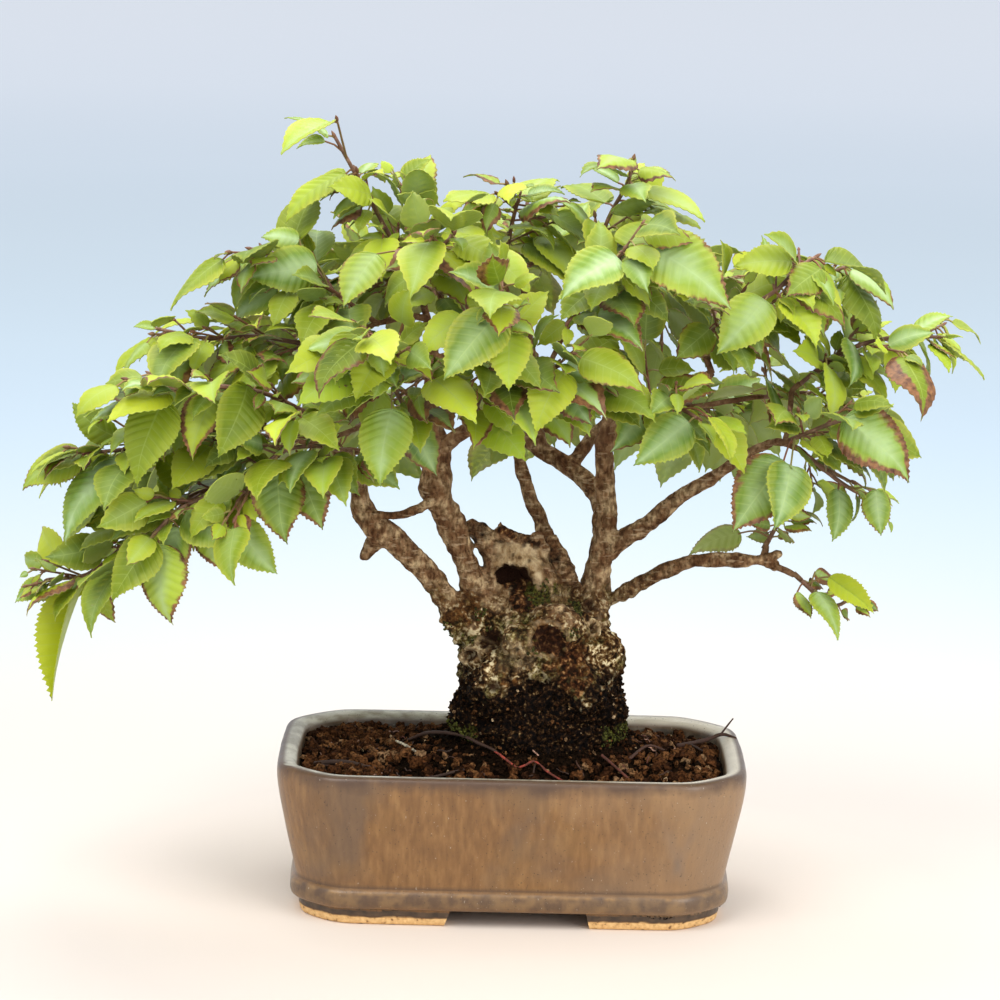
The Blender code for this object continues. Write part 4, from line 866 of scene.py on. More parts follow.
def lump(template, place, halves, rng, rough=0.25):
    """An irregular grain: a ball, stretched, turned and dented by noise."""
    points, faces = template
    seed = Vector((rng.uniform(0, 99), rng.uniform(0, 99), rng.uniform(0, 99)))
    reach = np.array([1 + rough * noise.noise(Vector(point) * 1.3 + seed)
                      + 0.4 * rough * noise.noise(Vector(point) * 3.1 + seed) for point in points])
    turn = Quaternion(Vector((rng.gauss(0, 1), rng.gauss(0, 1), rng.gauss(0, 1))).normalized(),
                      rng.uniform(0, 6.28)).to_matrix()
    made = (points * reach[:, None] * np.array(halves)) @ np.array(turn).T
    return made + np.array(place), faces


# Materials

class Look:
    """A node material under construction."""

    def __init__(self, name, roughness=0.6, **constants):
        self.material = bpy.data.materials.new(name)
        self.material.use_nodes = True
        self.tree = self.material.node_tree
        self.shader = self.tree.nodes["Principled BSDF"]
        self.shader.inputs["Roughness"].default_value = roughness
        for label, value in constants.items():
            self.shader.inputs[label.replace("_", " ")].default_value = value
        self.place = self.node("ShaderNodeTexCoord").outputs["Object"]

    def node(self, kind, **settings):
        made = self.tree.nodes.new(kind)
        for label, value in settings.items():
            setattr(made, label, value)
        return made

    def put(self, socket, value):
        if isinstance(value, bpy.types.NodeSocket):
            self.tree.links.new(value, socket)
        elif isinstance(value, tuple) and len(value) == 3 and socket.type == 'RGBA':
            socket.default_value = (*value, 1.0)
        else:
            socket.default_value = value

    def noise(self, size, detail=3.0, stretch=(1, 1, 1), distortion=0.0):
        """Noise from 0 to 1; size is in millimetres."""
        scaled = self.node("ShaderNodeVectorMath", operation='MULTIPLY')
        self.put(scaled.inputs[0], self.place)
        scaled.inputs[1].default_value = [1.0 / (size * MM * part) for part in stretch]
        made = self.node("ShaderNodeTexNoise")
        self.put(made.inputs["Vector"], scaled.outputs[0])
        made.inputs["Scale"].default_value = 1.0
        made.inputs["Detail"].default_value = detail
        made.inputs["Distortion"].default_value = distortion
        return made.outputs["Fac"]

    def cells(self, size):
        """Distance to the nearest of points strewn this many millimetres apart."""
        scaled = self.node("ShaderNodeVectorMath", operation='SCALE')
        self.put(scaled.inputs[0], self.place)
        scaled.inputs["Scale"].default_value = 1.0 / (size * MM)
        made = self.node("ShaderNodeTexVoronoi")
        self.put(made.inputs["Vector"], scaled.outputs[0])
        made.inputs["Scale"].default_value = 1.0
        return made.outputs["Distance"]

    def ramp(self, value, *stops):
        """Colours or grey steps along a value: pairs of place and colour or number."""
        made = self.node("ShaderNodeValToRGB")
        reach = max(1.0, stops[-1][0])
        if reach > 1.0:
            value = self.times(value, 1.0 / reach)
        self.put(made.inputs["Fac"], value)
        points = made.color_ramp.elements
        while len(points) < len(stops):
            points.new(0.5)
        for point, (place, color) in zip(points, stops):
            point.position = place / reach
            color = color if isinstance(color, tuple) else (color, color, color)
            point.color = (*color, 1.0)
        return made.outputs["Color"]

    def mix(self, share, a, b, kind='MIX'):
        made = self.node("ShaderNodeMix", data_type='RGBA', blend_type=kind)
        self.put(made.inputs[0], share)
        self.put(made.inputs[6], a)
        self.put(made.inputs[7], b)
        return made.outputs[2]

    def deepen(self, color, power, tone):
        """Darker shadows and richer colour; the light tones stay."""
        curve = self.node("ShaderNodeGamma")
        self.put(curve.inputs["Color"], color)
        curve.inputs["Gamma"].default_value = power
        return self.mix(1.0, curve.outputs["Color"], tone, 'MULTIPLY')

    def math(self, operation, a, b=0.0):
        made = self.node("ShaderNodeMath", operation=operation)
        self.put(made.inputs[0], a)
        self.put(made.inputs[1], b)
        return made.outputs[0]

    def times(self, a, b):
        return self.math('MULTIPLY', a, b)

    def plus(self, a, b):
        return self.math('ADD', a, b)

    def swing(self, value, size):
        """A noise turned to a push up or down of half this size."""
        return self.times(self.math('SUBTRACT', value, 0.5), size)

    def values(self, name):
        """The three numbers of a point attribute."""
        made = self.node("ShaderNodeAttribute", attribute_name=name)
        split = self.node("ShaderNodeSeparateXYZ")
        self.put(split.inputs[0], made.outputs["Vector"])
        return split.outputs

    def split(self):
        """The place on the object as x, y and z, in metres."""
        split = self.node("ShaderNodeSeparateXYZ")
        self.put(split.inputs[0], self.place)
        return split.outputs

    def bump(self, height, distance, strength=1.0):
        made = self.node("ShaderNodeBump")
        made.inputs["Strength"].default_value = strength
        made.inputs["Distance"].default_value = distance * MM
        self.put(made.inputs["Height"], height)
        self.put(self.shader.inputs["Normal"], made.outputs["Normal"])

    def finish(self, color, roughness=None):
        self.put(self.shader.inputs["Base Color"], color)
        if roughness is not None:
            self.put(self.shader.inputs["Roughness"], roughness)
        return self.material


# Where two faint runs in the glaze meet, in metres from the middle
RUNS_AT = 0.0845


def glaze_face(look, x, height, streak):
    """Fine upright streaks, smoky grey and golden patches, two faint runs, and painted light on the
    right end.
    """
    base = look.ramp(streak, (0.25, (0.150, 0.074, 0.027)), (0.5, (0.205, 0.104, 0.038)),
                     (0.75, (0.275, 0.150, 0.058)))
    smoky = look.ramp(look.noise(38, 3, (1, 1, 1.3), 0.6), (0.48, 0.0), (0.68, 0.62))
    base = look.mix(smoky, base, (0.118, 0.084, 0.062))
    golden = look.ramp(look.noise(26, 2, (1.4, 1, 0.8)), (0.52, 0.0), (0.72, 0.32))
    base = look.mix(golden, base, (0.300, 0.165, 0.050))
    # Painted light: the face grows paler towards its right end
    light = look.ramp(look.plus(look.times(x, 7.0), look.noise(30, 2)), (0.75, 0.0), (1.05, 0.5))
    base = look.mix(light, base, (0.330, 0.215, 0.125))
    lean = look.times(look.math('SUBTRACT', height, 0.35), 0.040)
    for slope, offset in ((-0.6, 0.007), (0.6, 0.002)):
        line = look.plus(look.math('SUBTRACT', x, RUNS_AT), look.times(lean, slope))
        line = look.plus(line, look.times(look.noise(6, 2), 0.003))
        line = look.ramp(look.math('ABSOLUTE', look.plus(line, offset)), (0.0006, 1.0), (0.0024, 0.0))
        reach = look.ramp(height, (0.30, 0.0), (0.42, 0.20), (0.72, 0.14), (0.9, 0.0))
        base = look.mix(look.times(line, reach), base, (0.140, 0.135, 0.140))
    return base


def glaze_bands(look, base, x, height):
    """What goes by height: pale rim with a painted highlight towards its right end, mottled belt with
    painted shade in its groove and a painted highlight on its lip, raw inner wall.
    """
    shady = look.ramp(look.plus(height, look.times(look.noise(11, 3), 0.2)), (1.00, 0.0), (1.09, 0.85))
    base = look.mix(shady, base, (0.070, 0.038, 0.024))
    inner = look.values("pot_part")[0]
    edge = look.times(look.ramp(height, (0.945, 0.0), (0.975, 1.0)),
                      look.ramp(inner, (0.0, 0.0), (0.12, 0.10), (0.7, 1.0)))
    rim_tone = look.ramp(look.noise(9, 3, (1, 1, 0.3)), (0.4, (0.27, 0.245, 0.19)),
                         (0.62, (0.50, 0.49, 0.43)))
    # Painted highlight: the rim grows paler towards its right end
    wear_and_painted_highlight = look.ramp(look.times(x, 10.0), (0.1, 0.0), (0.8, 0.8))
    base = look.mix(edge, base, look.mix(wear_and_painted_highlight, rim_tone, (0.66, 0.61, 0.53)))
    belt = look.ramp(height, (0.10, 0.0), (0.15, 0.75), (0.225, 0.75), (0.245, 0.0))
    base = look.mix(belt, base, look.ramp(look.noise(7, 6), (0.40, (0.070, 0.046, 0.034)),
                                          (0.60, (0.184, 0.116, 0.059))))
    # Painted shade in the groove above the belt
    groove = look.ramp(height, (0.236, 0.0), (0.250, 0.75), (0.275, 0.0))
    base = look.mix(groove, base, (0.075, 0.042, 0.024))
    wall = look.times(look.ramp(height, (0.93, 1.0), (0.965, 0.0)),
                      look.math('GREATER_THAN', inner, 0.5))
    base = look.mix(wall, base, look.ramp(look.noise(5, 4), (0.4, (0.060, 0.043, 0.026)),
                                          (0.65, (0.150, 0.115, 0.080))))
    # Painted highlight along the belt's upper lip
    lip = look.times(look.ramp(height, (0.205, 0.0), (0.222, 0.35), (0.236, 0.0)),
                     look.ramp(look.noise(8, 3), (0.45, 0.0), (0.6, 1.0)))
    return look.mix(lip, base, (0.42, 0.235, 0.070))


def glaze_marks(look, base):
    """Dark specks, scratches and dust."""
    specks = look.ramp(look.cells(2.5), (0.075, 0.75), (0.12, 0.0))
    base = look.mix(specks, base, (0.035, 0.026, 0.02))
    scratch = look.ramp(look.noise(0.8, 4, (1, 1, 2.2), 0.8), (0.30, 0.6), (0.35, 0.0))
    base = look.mix(scratch, base, (0.070, 0.045, 0.028))
    dust = look.ramp(look.noise(0.9, 2, (1, 1, 1.8)), (0.72, 0.0), (0.76, 0.65))
    return look.mix(dust, base, (0.46, 0.42, 0.36))


def glaze_feet(look, base, height, low, clay):
    """Thin dark glaze on the feet, darkened further as painted shade under the pot, dark blotches in a
    band under the belt, and bare clay with a seam at the bottom.
    """
    # Dark glaze on the feet: partly their own glaze, partly painted shade on the pot's underside
    foot = look.ramp(low, (0.108, 1.0), (0.118, 0.0))
    base = look.mix(foot, base, look.ramp(look.noise(5, 6), (0.38, (0.044, 0.028, 0.018)),
                                          (0.62, (0.098, 0.062, 0.037))))
    # Dark blotches in a band just under the belt
    under_belt_blotches = look.times(look.ramp(height, (0.07, 0.0), (0.10, 1.0), (0.125, 0.0)),
                      look.ramp(look.noise(1.5, 6), (0.52, 0.0), (0.56, 0.85)))
    under_belt_blotches = look.times(under_belt_blotches, look.ramp(look.noise(16, 2), (0.45, 0.0), (0.52, 1.0)))
    base = look.mix(under_belt_blotches, base, (0.020, 0.014, 0.008))
    bare = look.ramp(look.noise(1.8, 6), (0.32, (0.20, 0.10, 0.040)), (0.40, (0.62, 0.380, 0.160)),
                     (0.62, (0.78, 0.530, 0.250)))
    base = look.mix(clay, base, bare)
    seam = look.ramp(low, (0.066, 0.0), (0.072, 0.8), (0.080, 0.8), (0.086, 0.0))
    return look.mix(seam, base, (0.060, 0.030, 0.015))


def glaze_look():
    """Brown ash glaze over clay; heights are shares of the pot's own."""
    look = Look("pot_glaze", Specular_IOR_Level=0.45, Coat_Weight=0.12, Coat_Roughness=0.3)
    x, _, z = look.split()
    height = look.times(z, 1.0 / (POT_HEIGHT * MM))
    low = look.plus(z, look.times(look.noise(7, 2), 0.0022))
    low = look.times(low, 1.0 / (POT_HEIGHT * MM))
    clay = look.ramp(low, (0.074, 1.0), (0.078, 0.0))
    streak = look.noise(2.2, 4, (1, 1, 7))
    base = glaze_face(look, x, height, streak)
    base = glaze_bands(look, base, x, height)
    base = glaze_marks(look, base)
    base = glaze_feet(look, base, height, low, clay)
    base = look.mix(1.0, base, (1.00, 0.96, 0.88), 'MULTIPLY')
    look.bump(look.plus(look.noise(1.1, 3), look.times(look.noise(9, 2), 1.5)), 0.22, 0.55)
    gloss = look.plus(look.times(clay, 0.5), look.times(streak, 0.2))
    return look.finish(base, look.plus(gloss, 0.26))


def bark_skin(look, broad):
    """Grey-beige bark: patches, flakes, dark flecks and pale rings."""
    patch = look.plus(look.noise(4.2, 7), look.swing(broad, 0.5))
    base = look.ramp(patch, (0.34, (0.150, 0.080, 0.045)), (0.46, (0.215, 0.130, 0.078)),
                     (0.56, (0.300, 0.205, 0.132)), (0.70, (0.50, 0.39, 0.27)))
    flaky = look.ramp(look.noise(1.5, 7, (1, 1, 2.4)), (0.38, (0.58, 0.54, 0.50)),
                      (0.50, (1.0, 1.0, 1.0)), (0.62, (1.28, 1.28, 1.28)))
    base = look.mix(1.0, base, flaky, 'MULTIPLY')
    fleck = look.ramp(look.noise(2.3, 5, (1, 1, 0.8)), (0.32, 0.65), (0.40, 0.0))
    base = look.mix(fleck, base, (0.060, 0.030, 0.016))
    rings = look.ramp(look.noise(1.6, 2, (4, 4, 1)), (0.60, 0.0), (0.68, 0.5))
    return look.mix(rings, base, (0.60, 0.48, 0.36))


def bark_crust(look, base, broad):
    """The stump's crust of lichen, algae and amber bark, with a ragged upper edge."""
    height = look.times(look.split()[2], 1.0 / 0.2)
    stump = look.ramp(look.plus(height, look.swing(broad, 0.25)), (0.60, 1.0), (0.72, 0.0))
    level = look.plus(look.noise(2.0, 9), look.swing(broad, 0.45))
    crust = look.ramp(level, (0.40, (0.010, 0.005, 0.002)), (0.47, (0.060, 0.029, 0.011)),
                      (0.53, (0.165, 0.098, 0.044)), (0.585, (0.40, 0.31, 0.18)),
                      (0.65, (0.85, 0.78, 0.60)))
    base = look.mix(look.times(stump, 0.95), base, crust)
    algae = look.times(look.ramp(look.noise(11, 3), (0.50, 0.0), (0.62, 0.6)), stump)
    base = look.mix(algae, base, look.ramp(look.noise(1.6, 6), (0.43, (0.020, 0.019, 0.004)),
                                           (0.52, (0.105, 0.098, 0.030)), (0.60, (0.40, 0.38, 0.19))))
    amber = look.times(look.ramp(look.noise(14, 3), (0.52, 0.0), (0.64, 0.6)), stump)
    return look.mix(amber, base, look.ramp(look.noise(1.8, 6), (0.42, (0.050, 0.020, 0.007)),
                                           (0.58, (0.235, 0.115, 0.040))))


def bark_parts(look, base, dark, pale, young):
    """Young reddish skin, bare dead wood, and the dark earth low down, which also darkens the dead arm
    and paints a shadow beside the stub.
    """
    base = look.mix(young, base, look.ramp(look.noise(5, 3), (0.35, (0.13, 0.066, 0.042)),
                                           (0.68, (0.31, 0.20, 0.135))))
    wood = look.ramp(look.noise(3.4, 7, (1, 1, 1.6)), (0.34, (0.13, 0.080, 0.045)),
                     (0.42, (0.36, 0.26, 0.16)), (0.62, (0.64, 0.53, 0.39)))
    base = look.mix(pale, base, wood)
    soil = look.ramp(look.noise(1.7, 8), (0.42, (0.003, 0.0015, 0.001)),
                     (0.54, (0.020, 0.010, 0.005)), (0.63, (0.085, 0.048, 0.022)),
                     (0.72, (0.34, 0.26, 0.15)))
    low = look.ramp(look.plus(dark, look.times(look.noise(5, 7), 1.1)), (0.72, 0.0), (1.02, 1.0))
    return look.mix(low, base, soil)


def bark_wounds(look, base, wound, painted_hollow_shade, moss):
    """Red-brown rot in the wounds, painted shade in the hollows, and moss."""
    rot = look.ramp(look.noise(2.1, 7), (0.42, (0.012, 0.005, 0.002)), (0.51, (0.058, 0.022, 0.010)),
                    (0.59, (0.150, 0.070, 0.030)), (0.66, (0.40, 0.25, 0.13)))
    torn = look.plus(wound, look.swing(look.noise(4, 6), 1.6))
    base = look.mix(look.ramp(torn, (0.35, 0.0), (0.65, 0.95)), base, rot)
    # Painted shade: near black in the cavity, the wound's middle and the small holes
    base = look.mix(painted_hollow_shade, base, (0.034, 0.015, 0.009))
    green = look.ramp(look.noise(1.2, 5), (0.40, (0.010, 0.011, 0.002)), (0.60, (0.115, 0.120, 0.028)))
    mossy = look.ramp(look.times(moss, look.noise(3.0, 6)), (0.30, 0.0), (0.44, 0.9))
    return look.mix(mossy, base, green)


def bark_look():
    """Bark, driven by the trunk's point values."""
    look = Look("bark", 0.9, Specular_IOR_Level=0.08)
    dark, pale, moss = look.values("bark_map")[:3]
    # The middle value is the painted shade in the hollows
    wound, painted_hollow_shade, young = look.values("bark_more")[:3]
    broad = look.noise(9, 3)
    base = bark_skin(look, broad)
    base = bark_crust(look, base, broad)
    base = bark_parts(look, base, dark, pale, young)
    base = bark_wounds(look, base, wound, painted_hollow_shade, moss)
    base = look.deepen(base, 1.15, (1.02, 0.94, 0.78))
    look.bump(look.plus(look.noise(1.2, 7), look.times(look.noise(3.0, 6), 1.6)), 1.3, 1.0)
    return look.finish(base, look.ramp(look.noise(3, 2), (0.3, 0.72), (0.7, 0.95)))


def leaf_green(look, tint, age, waxy, across, wear, cloud):
    """The blade's green by its tint, lime when young, bluish on leaves with more sheen, yellow at the
    margin.
    """
    green = look.ramp(tint, (0.0, (0.040, 0.068, 0.004)), (0.35, (0.100, 0.150, 0.009)),
                      (0.7, (0.210, 0.272, 0.018)), (1.0, (0.335, 0.395, 0.035)))
    green = look.mix(look.ramp(cloud, (0.35, 0.0), (0.75, 0.45)), green, (0.235, 0.300, 0.030))
    lime = look.mix(tint, (0.27, 0.38, 0.028), (0.42, 0.50, 0.060))
    green = look.mix(age, green, lime)
    green = look.mix(look.times(waxy, 0.75), green, (0.105, 0.215, 0.075))
    green = look.mix(1.0, green, (1.33, 1.27, 0.60), 'MULTIPLY')
    margin = look.ramp(look.plus(across, look.times(look.noise(6, 2), 0.5)), (0.82, 0.0), (1.0, 0.35))
    rim = look.ramp(look.plus(across, look.times(look.noise(5, 2), 0.10)), (0.90, 0.0), (1.0, 0.42))
    return look.mix(look.times(look.plus(margin, rim), wear), green, (0.42, 0.42, 0.045))


def leaf_scorch(look, green, across, along_leaf, brown):
    """Browned edges, wider at the tip and on leaves with much brown."""
    tips = look.ramp(along_leaf, (0.70, 0.0), (1.0, 0.35))
    scorch = look.plus(across, look.times(look.noise(4, 4), 0.55))
    scorch = look.plus(scorch, look.times(tips, look.ramp(brown, (0.0, 0.0), (0.4, 1.0))))
    scorch = look.ramp(look.plus(scorch, look.times(brown, 0.62)), (1.42, 0.0), (1.56, 1.0))
    scorched = look.ramp(look.noise(2.5, 3), (0.35, (0.085, 0.030, 0.013)),
                         (0.7, (0.30, 0.135, 0.052)))
    return look.mix(scorch, green, scorched)


def leaf_look():
    """A leaf blade: veins, yellow margins, lime young leaves, a painted sheen mid-blade, browned
    edges, pale underside.
    """
    look = Look("leaf", 0.5, Specular_IOR_Level=0.32, Subsurface_Weight=0.25,
                Subsurface_Radius=(1.0, 0.9, 0.25), Subsurface_Scale=0.0014)
    across, vein, along_leaf = look.values("leaf_map")[:3]
    tint, age, brown = look.values("leaf_kind")[:3]
    upper, wear, waxy = look.values("leaf_side")[:3]
    cloud = look.noise(9, 3)
    green = leaf_green(look, tint, age, waxy, across, wear, cloud)
    lines = look.math('MAXIMUM', look.ramp(vein, (0.0, 0.30), (0.22, 0.0)),
                      look.ramp(across, (0.010, 0.5), (0.055, 0.0)))
    green = look.mix(lines, green, (0.34, 0.42, 0.09))
    # Painted sheen: the middle of the blade whitened on the leaves with more sheen
    painted_sheen = look.ramp(look.plus(look.noise(10, 3), across), (0.55, 1.0), (1.15, 0.0))
    green = look.mix(look.times(waxy, painted_sheen), green, (0.42, 0.55, 0.27))
    green = leaf_scorch(look, green, across, along_leaf, brown)
    under = look.mix(0.6, green, (0.29, 0.37, 0.125))
    color = look.mix(upper, under, green)
    look.bump(look.plus(look.times(lines, -1.0), look.times(look.noise(0.8, 2), 0.4)), 0.12, 0.5)
    return look.finish(color, look.ramp(cloud, (0.3, 0.44), (0.7, 0.58)))


def twig_look():
    """Young red-brown twigs and petioles, greener on the newest ones."""
    look = Look("twig", 0.55, Specular_IOR_Level=0.4)
    tint, fresh, _ = look.values("leaf_map")[:3]
    base = look.ramp(look.noise(3, 3), (0.3, (0.075, 0.030, 0.020)), (0.6, (0.19, 0.090, 0.055)),
                     (0.8, (0.36, 0.24, 0.16)))
    red = look.mix(tint, (0.24, 0.070, 0.035), (0.34, 0.30, 0.080))
    base = look.mix(fresh, base, red)
    look.bump(look.noise(0.9, 2), 0.15, 0.5)
    return look.finish(base)


def soil_look():
    """Grains from near-black humus over red-brown and ochre clay to a few cream ones."""
    look = Look("soil", 0.95, Specular_IOR_Level=0.04)
    tint = look.values("grain")[0]
    base = look.ramp(tint, (0.0, (0.006, 0.004, 0.002)), (0.30, (0.016, 0.008, 0.004)),
                     (0.45, (0.040, 0.017, 0.008)), (0.65, (0.090, 0.038, 0.015)),
                     (0.85, (0.170, 0.085, 0.036)), (1.0, (0.58, 0.45, 0.29)))
    spots = look.ramp(look.noise(1.1, 6), (0.38, 0.25), (0.62, 1.35))
    base = look.mix(1.0, base, spots, 'MULTIPLY')
    base = look.mix(1.0, base, (0.92, 0.82, 0.72), 'MULTIPLY')
    look.bump(look.noise(0.8, 6), 0.8, 1.0)
    return look.finish(base)


def moss_look():
    """Moss, from near black to olive green."""
    look = Look("moss", 0.9, Specular_IOR_Level=0.2)
    tint = look.values("grain")[0]
    base = look.mix(tint, (0.014, 0.013, 0.003), (0.125, 0.130, 0.022))
    look.bump(look.noise(0.5, 3), 0.4, 0.9)
    return look.finish(base)


def root_look():
    """Roots and sticks: black-brown, red-brown, bright red and off-white."""
    look = Look("root", 0.75, Specular_IOR_Level=0.3)
    tint = look.values("grain")[0]
    base = look.ramp(tint, (0.0, (0.022, 0.012, 0.008)), (0.35, (0.075, 0.032, 0.020)),
                     (0.65, (0.36, 0.050, 0.030)), (1.0, (0.60, 0.52, 0.37)))
    base = look.mix(look.ramp(look.noise(2.0, 5), (0.42, 0.0), (0.58, 0.75)), base,
                    (0.040, 0.020, 0.012))
    look.bump(look.noise(0.8, 3), 0.25, 0.8)
    return look.finish(base)


def net_look():
    """Black plastic."""
    look = Look("drain_net", 0.5)
    color = look.ramp(look.noise(2, 2), (0.3, (0.012, 0.012, 0.012)), (0.7, (0.03, 0.03, 0.028)))
    look.bump(look.noise(0.6, 2), 0.05, 0.5)
    return look.finish(color)


# Pot

# Steps of the drawn pot's outer and inner wall, measured as above
FINE_OUTSIDE = [(0.0, 11.6), (0.25, 10.7), (0.9, 10.2), (2.2, 10.0), (3.3, 9.95), (3.6, 9.6),
                (5.2, 9.55), (6.7, 9.5), (7.1, 9.0), (7.4, 7.9), (7.8, 7.0), (8.6, 6.3),
                (9.8, 5.95), (11.5, 5.8), (13.2, 5.95), (14.4, 6.25), (15.2, 6.75), (15.7, 7.4),
                (16.1, 7.9), (16.9, 8.0), (18.4, 7.75), (20.5, 7.3), (23.5, 6.7), (27.5, 5.9),
                (32.0, 4.95), (37.0, 3.95), (42.0, 2.95), (47.0, 1.95), (52.0, 1.05),
                (56.0, 0.45), (59.5, 0.08), (62.0, 0.0), (63.8, 0.12), (65.0, 0.55),
                (65.7, 1.25), (66.0, 2.2)]
FINE_INSIDE = [(66.0, 4.6), (65.8, 5.6), (65.2, 6.7), (64.3, 7.8), (62.8, 8.5), (58.0, 9.1),
               (46.0, 10.9), (30.0, 13.1), (FLOOR_TOP + 3.0, 15.1), (FLOOR_TOP + 0.8, 15.9),
               (FLOOR_TOP, FLOOR_INSET + 1.5)]
OUTLINE_POINTS = 192
# How many times each outline is cut at its corners, and then evened out
CORNER_CUTS = 3
CORNER_SOFTNESS = 3


def round_outline(ring):
    """Cuts an outline's corners, so that straight pieces meet in soft bends."""
    points = [np.array(point, float) for point in ring]
    for _ in range(CORNER_CUTS):
        cut = []
        for a, b in zip(points, points[1:] + points[:1]):
            cut += [a * 0.75 + b * 0.25, a * 0.25 + b * 0.75]
        points = cut
    steps = [np.linalg.norm(b - a) for a, b in zip(points, points[1:] + points[:1])]
    ends = np.concatenate([[0], np.cumsum(steps)])
    closed = np.array(points + [points[0]])
    spots = np.linspace(0, ends[-1], OUTLINE_POINTS, endpoint=False)
    even = np.stack([np.interp(spots, ends, closed[:, i]) for i in range(3)], axis=1)
    for _ in range(CORNER_SOFTNESS):
        even = 0.25 * np.roll(even, 1, axis=0) + 0.5 * even + 0.25 * np.roll(even, -1, axis=0)
    return list(even)


def pot_rings():
    """Rings of points from under the floor, up the outside and down the inside, a little uneven."""
    rings = [round_outline(pot_ring(FOOT_HEIGHT, FOOT_RING_INSET)),
             round_outline(pot_ring(0.0, FOOT_RING_INSET - 0.6))]
    for height, inset in FINE_OUTSIDE + FINE_INSIDE:
        ring = []
        for point in round_outline(pot_ring(height, inset)):
            wave = 0.35 * noise.noise(Vector(point) / 30.0) + 0.12 * noise.noise(Vector(point) / 9.0)
            out = np.array([point[0], point[1], 0.0])
            out /= np.linalg.norm(out)
            calm = 1.0 if height > 1 else 0.0
            ring.append(point + out * wave * calm + np.array([0, 0, 0.2 * wave * calm]))
        rings.append(ring)
    return rings


def fine_pot(look):
    """The pot in one piece, with the gaps between the feet and the drain holes cut out."""
    shape = bmesh.new()
    loops = [[shape.verts.new(Vector(point) * MM + SHIFT) for point in ring]
             for ring in pot_rings()]
    for lower, upper in zip(loops, loops[1:]):
        for i in range(len(lower)):
            j = (i + 1) % len(lower)
            shape.faces.new((lower[i], lower[j], upper[j], upper[i]))
    shape.faces.new(loops[0])
    shape.faces.new(loops[-1])
    bmesh.ops.recalc_face_normals(shape, faces=shape.faces)
    mesh = bpy.data.meshes.new("stoneware_pot")
    shape.to_mesh(mesh)
    shape.free()
    pot = show("stoneware_pot", mesh)
    tools = pot_cutters()
    for tool in tools:
        change = pot.modifiers.new("cut", 'BOOLEAN')
        change.operation = 'DIFFERENCE'
        change.object = tool
    apply_modifiers(pot)
    paint(pot.data, look)
    pot.data.set_sharp_from_angle(angle=math.radians(POT_SHARP))
    mark_inside(pot.data)
    for tool in tools:
        bpy.data.objects.remove(tool)
    return finish_piece(pot, "pot_glaze", "pot")


def mark_inside(mesh):
    """Marks the points on the pot's inner wall, up to the middle of the rim."""
    outside = [np.array(side) for side in zip(*FINE_OUTSIDE)]
    inside = [np.array(side) for side in zip(*reversed(FINE_INSIDE))]
    marks = []
    for vert in mesh.vertices:
        place = (vert.co - SHIFT) / MM
        middle = (np.interp(place.z, *outside) + np.interp(place.z, *inside)) / 2
        held = place.z > FLOOR_TOP and inside_outline(place.x, place.y, pot_ring(0.0, middle))
        marks += [1.0 if held else 0.0, 0.0, 0.0]
    mesh.attributes.new("pot_part", 'FLOAT_VECTOR', 'POINT').data.foreach_set("vector", marks)


def block(name, points, faces):
    """A closed shape from points in millimetres."""
    mesh = bpy.data.meshes.new(name)
    mesh.from_pydata([Vector(point) * MM + SHIFT for point in points], [], faces)
    return show(name, mesh)


def pot_cutters():
    """The gaps between the feet and the two drain holes."""
    tools = []
    for top, bottom, reach, along_x in ((FRONT_GAP_TOP, FRONT_GAP_BOTTOM, 80, False),
                                        (SIDE_GAP_TOP, SIDE_GAP_BOTTOM, 120, True)):
        points = []
        for side in (-reach, reach):
            for across, height in ((bottom[0], -1.0), (bottom[1], -1.0),
                                   (top[1], FOOT_HEIGHT - 0.2), (top[0], FOOT_HEIGHT - 0.2)):
                points.append((side, across, height) if along_x else (across, side, height))
        faces = [(0, 1, 2, 3), (7, 6, 5, 4), (0, 4, 5, 1), (1, 5, 6, 2), (2, 6, 7, 3), (3, 7, 4, 0)]
        if not along_x:
            faces = [face[::-1] for face in faces]
        tools.append(block("cutter_gap", points, [face[::-1] for face in faces]))
    for x in (-DRAIN_X, DRAIN_X):
        points, faces = pipe(np.array([[x, 0, -5.0], [x, 0, 30.0]]), [DRAIN_RADIUS] * 2, 32)
        tools.append(block("cutter_drain", points, faces))
    return tools


def apply_modifiers(item):
    """Keeps what the modifiers make of the mesh."""
    bpy.context.view_layer.update()
    depsgraph = bpy.context.evaluated_depsgraph_get()
    mesh = bpy.data.meshes.new_from_object(item.evaluated_get(depsgraph))
    item.modifiers.clear()
    item.data = mesh


# Soil

# The stump's hole in the bed, and the humus heaped against the stump
HOLE_HALF_WIDTH = 36.0
HOLE_HALF_DEPTH = 29.5
HUMUS_HEAP = 5.0
HEAP_REACH = 0.45
BED_RINGS = 26
GRANULES = 2250
PALE_GRANULES = 0.02
HUMUS_CRUMBS = 850
ROOTLETS = 70


def soil_top(x, y):
    """Height of the soil with the humus heaped against the stump."""
    away = math.hypot((x - STUMP_X) / STUMP_HALF_WIDTH, (y - STUMP_Y) / STUMP_HALF_DEPTH)
    return soil_height(x, y) + HUMUS_HEAP * max(0.0, 1 - max(0.0, away - 1) / HEAP_REACH)


def bed_ring(edge, share):
    """A ring of the bed's surface, from the pot's wall at 0 to the stump's hole at 1."""
    ring = []
    for point in edge:
        turn = math.atan2((point[1] - STUMP_Y) / HOLE_HALF_DEPTH,
                          (point[0] - STUMP_X) / HOLE_HALF_WIDTH)
        x = point[0] * (1 - share) + (STUMP_X + HOLE_HALF_WIDTH * math.cos(turn)) * share
        y = point[1] * (1 - share) + (STUMP_Y + HOLE_HALF_DEPTH * math.sin(turn)) * share
        z = soil_top(x, y) - 1.2 + 1.1 * noise.noise(Vector((x, y, 3)) / 4.0)
        ring.append((x, y, min(z, 62.5 + 13 * min(1.0, 3 * share))))
    return ring


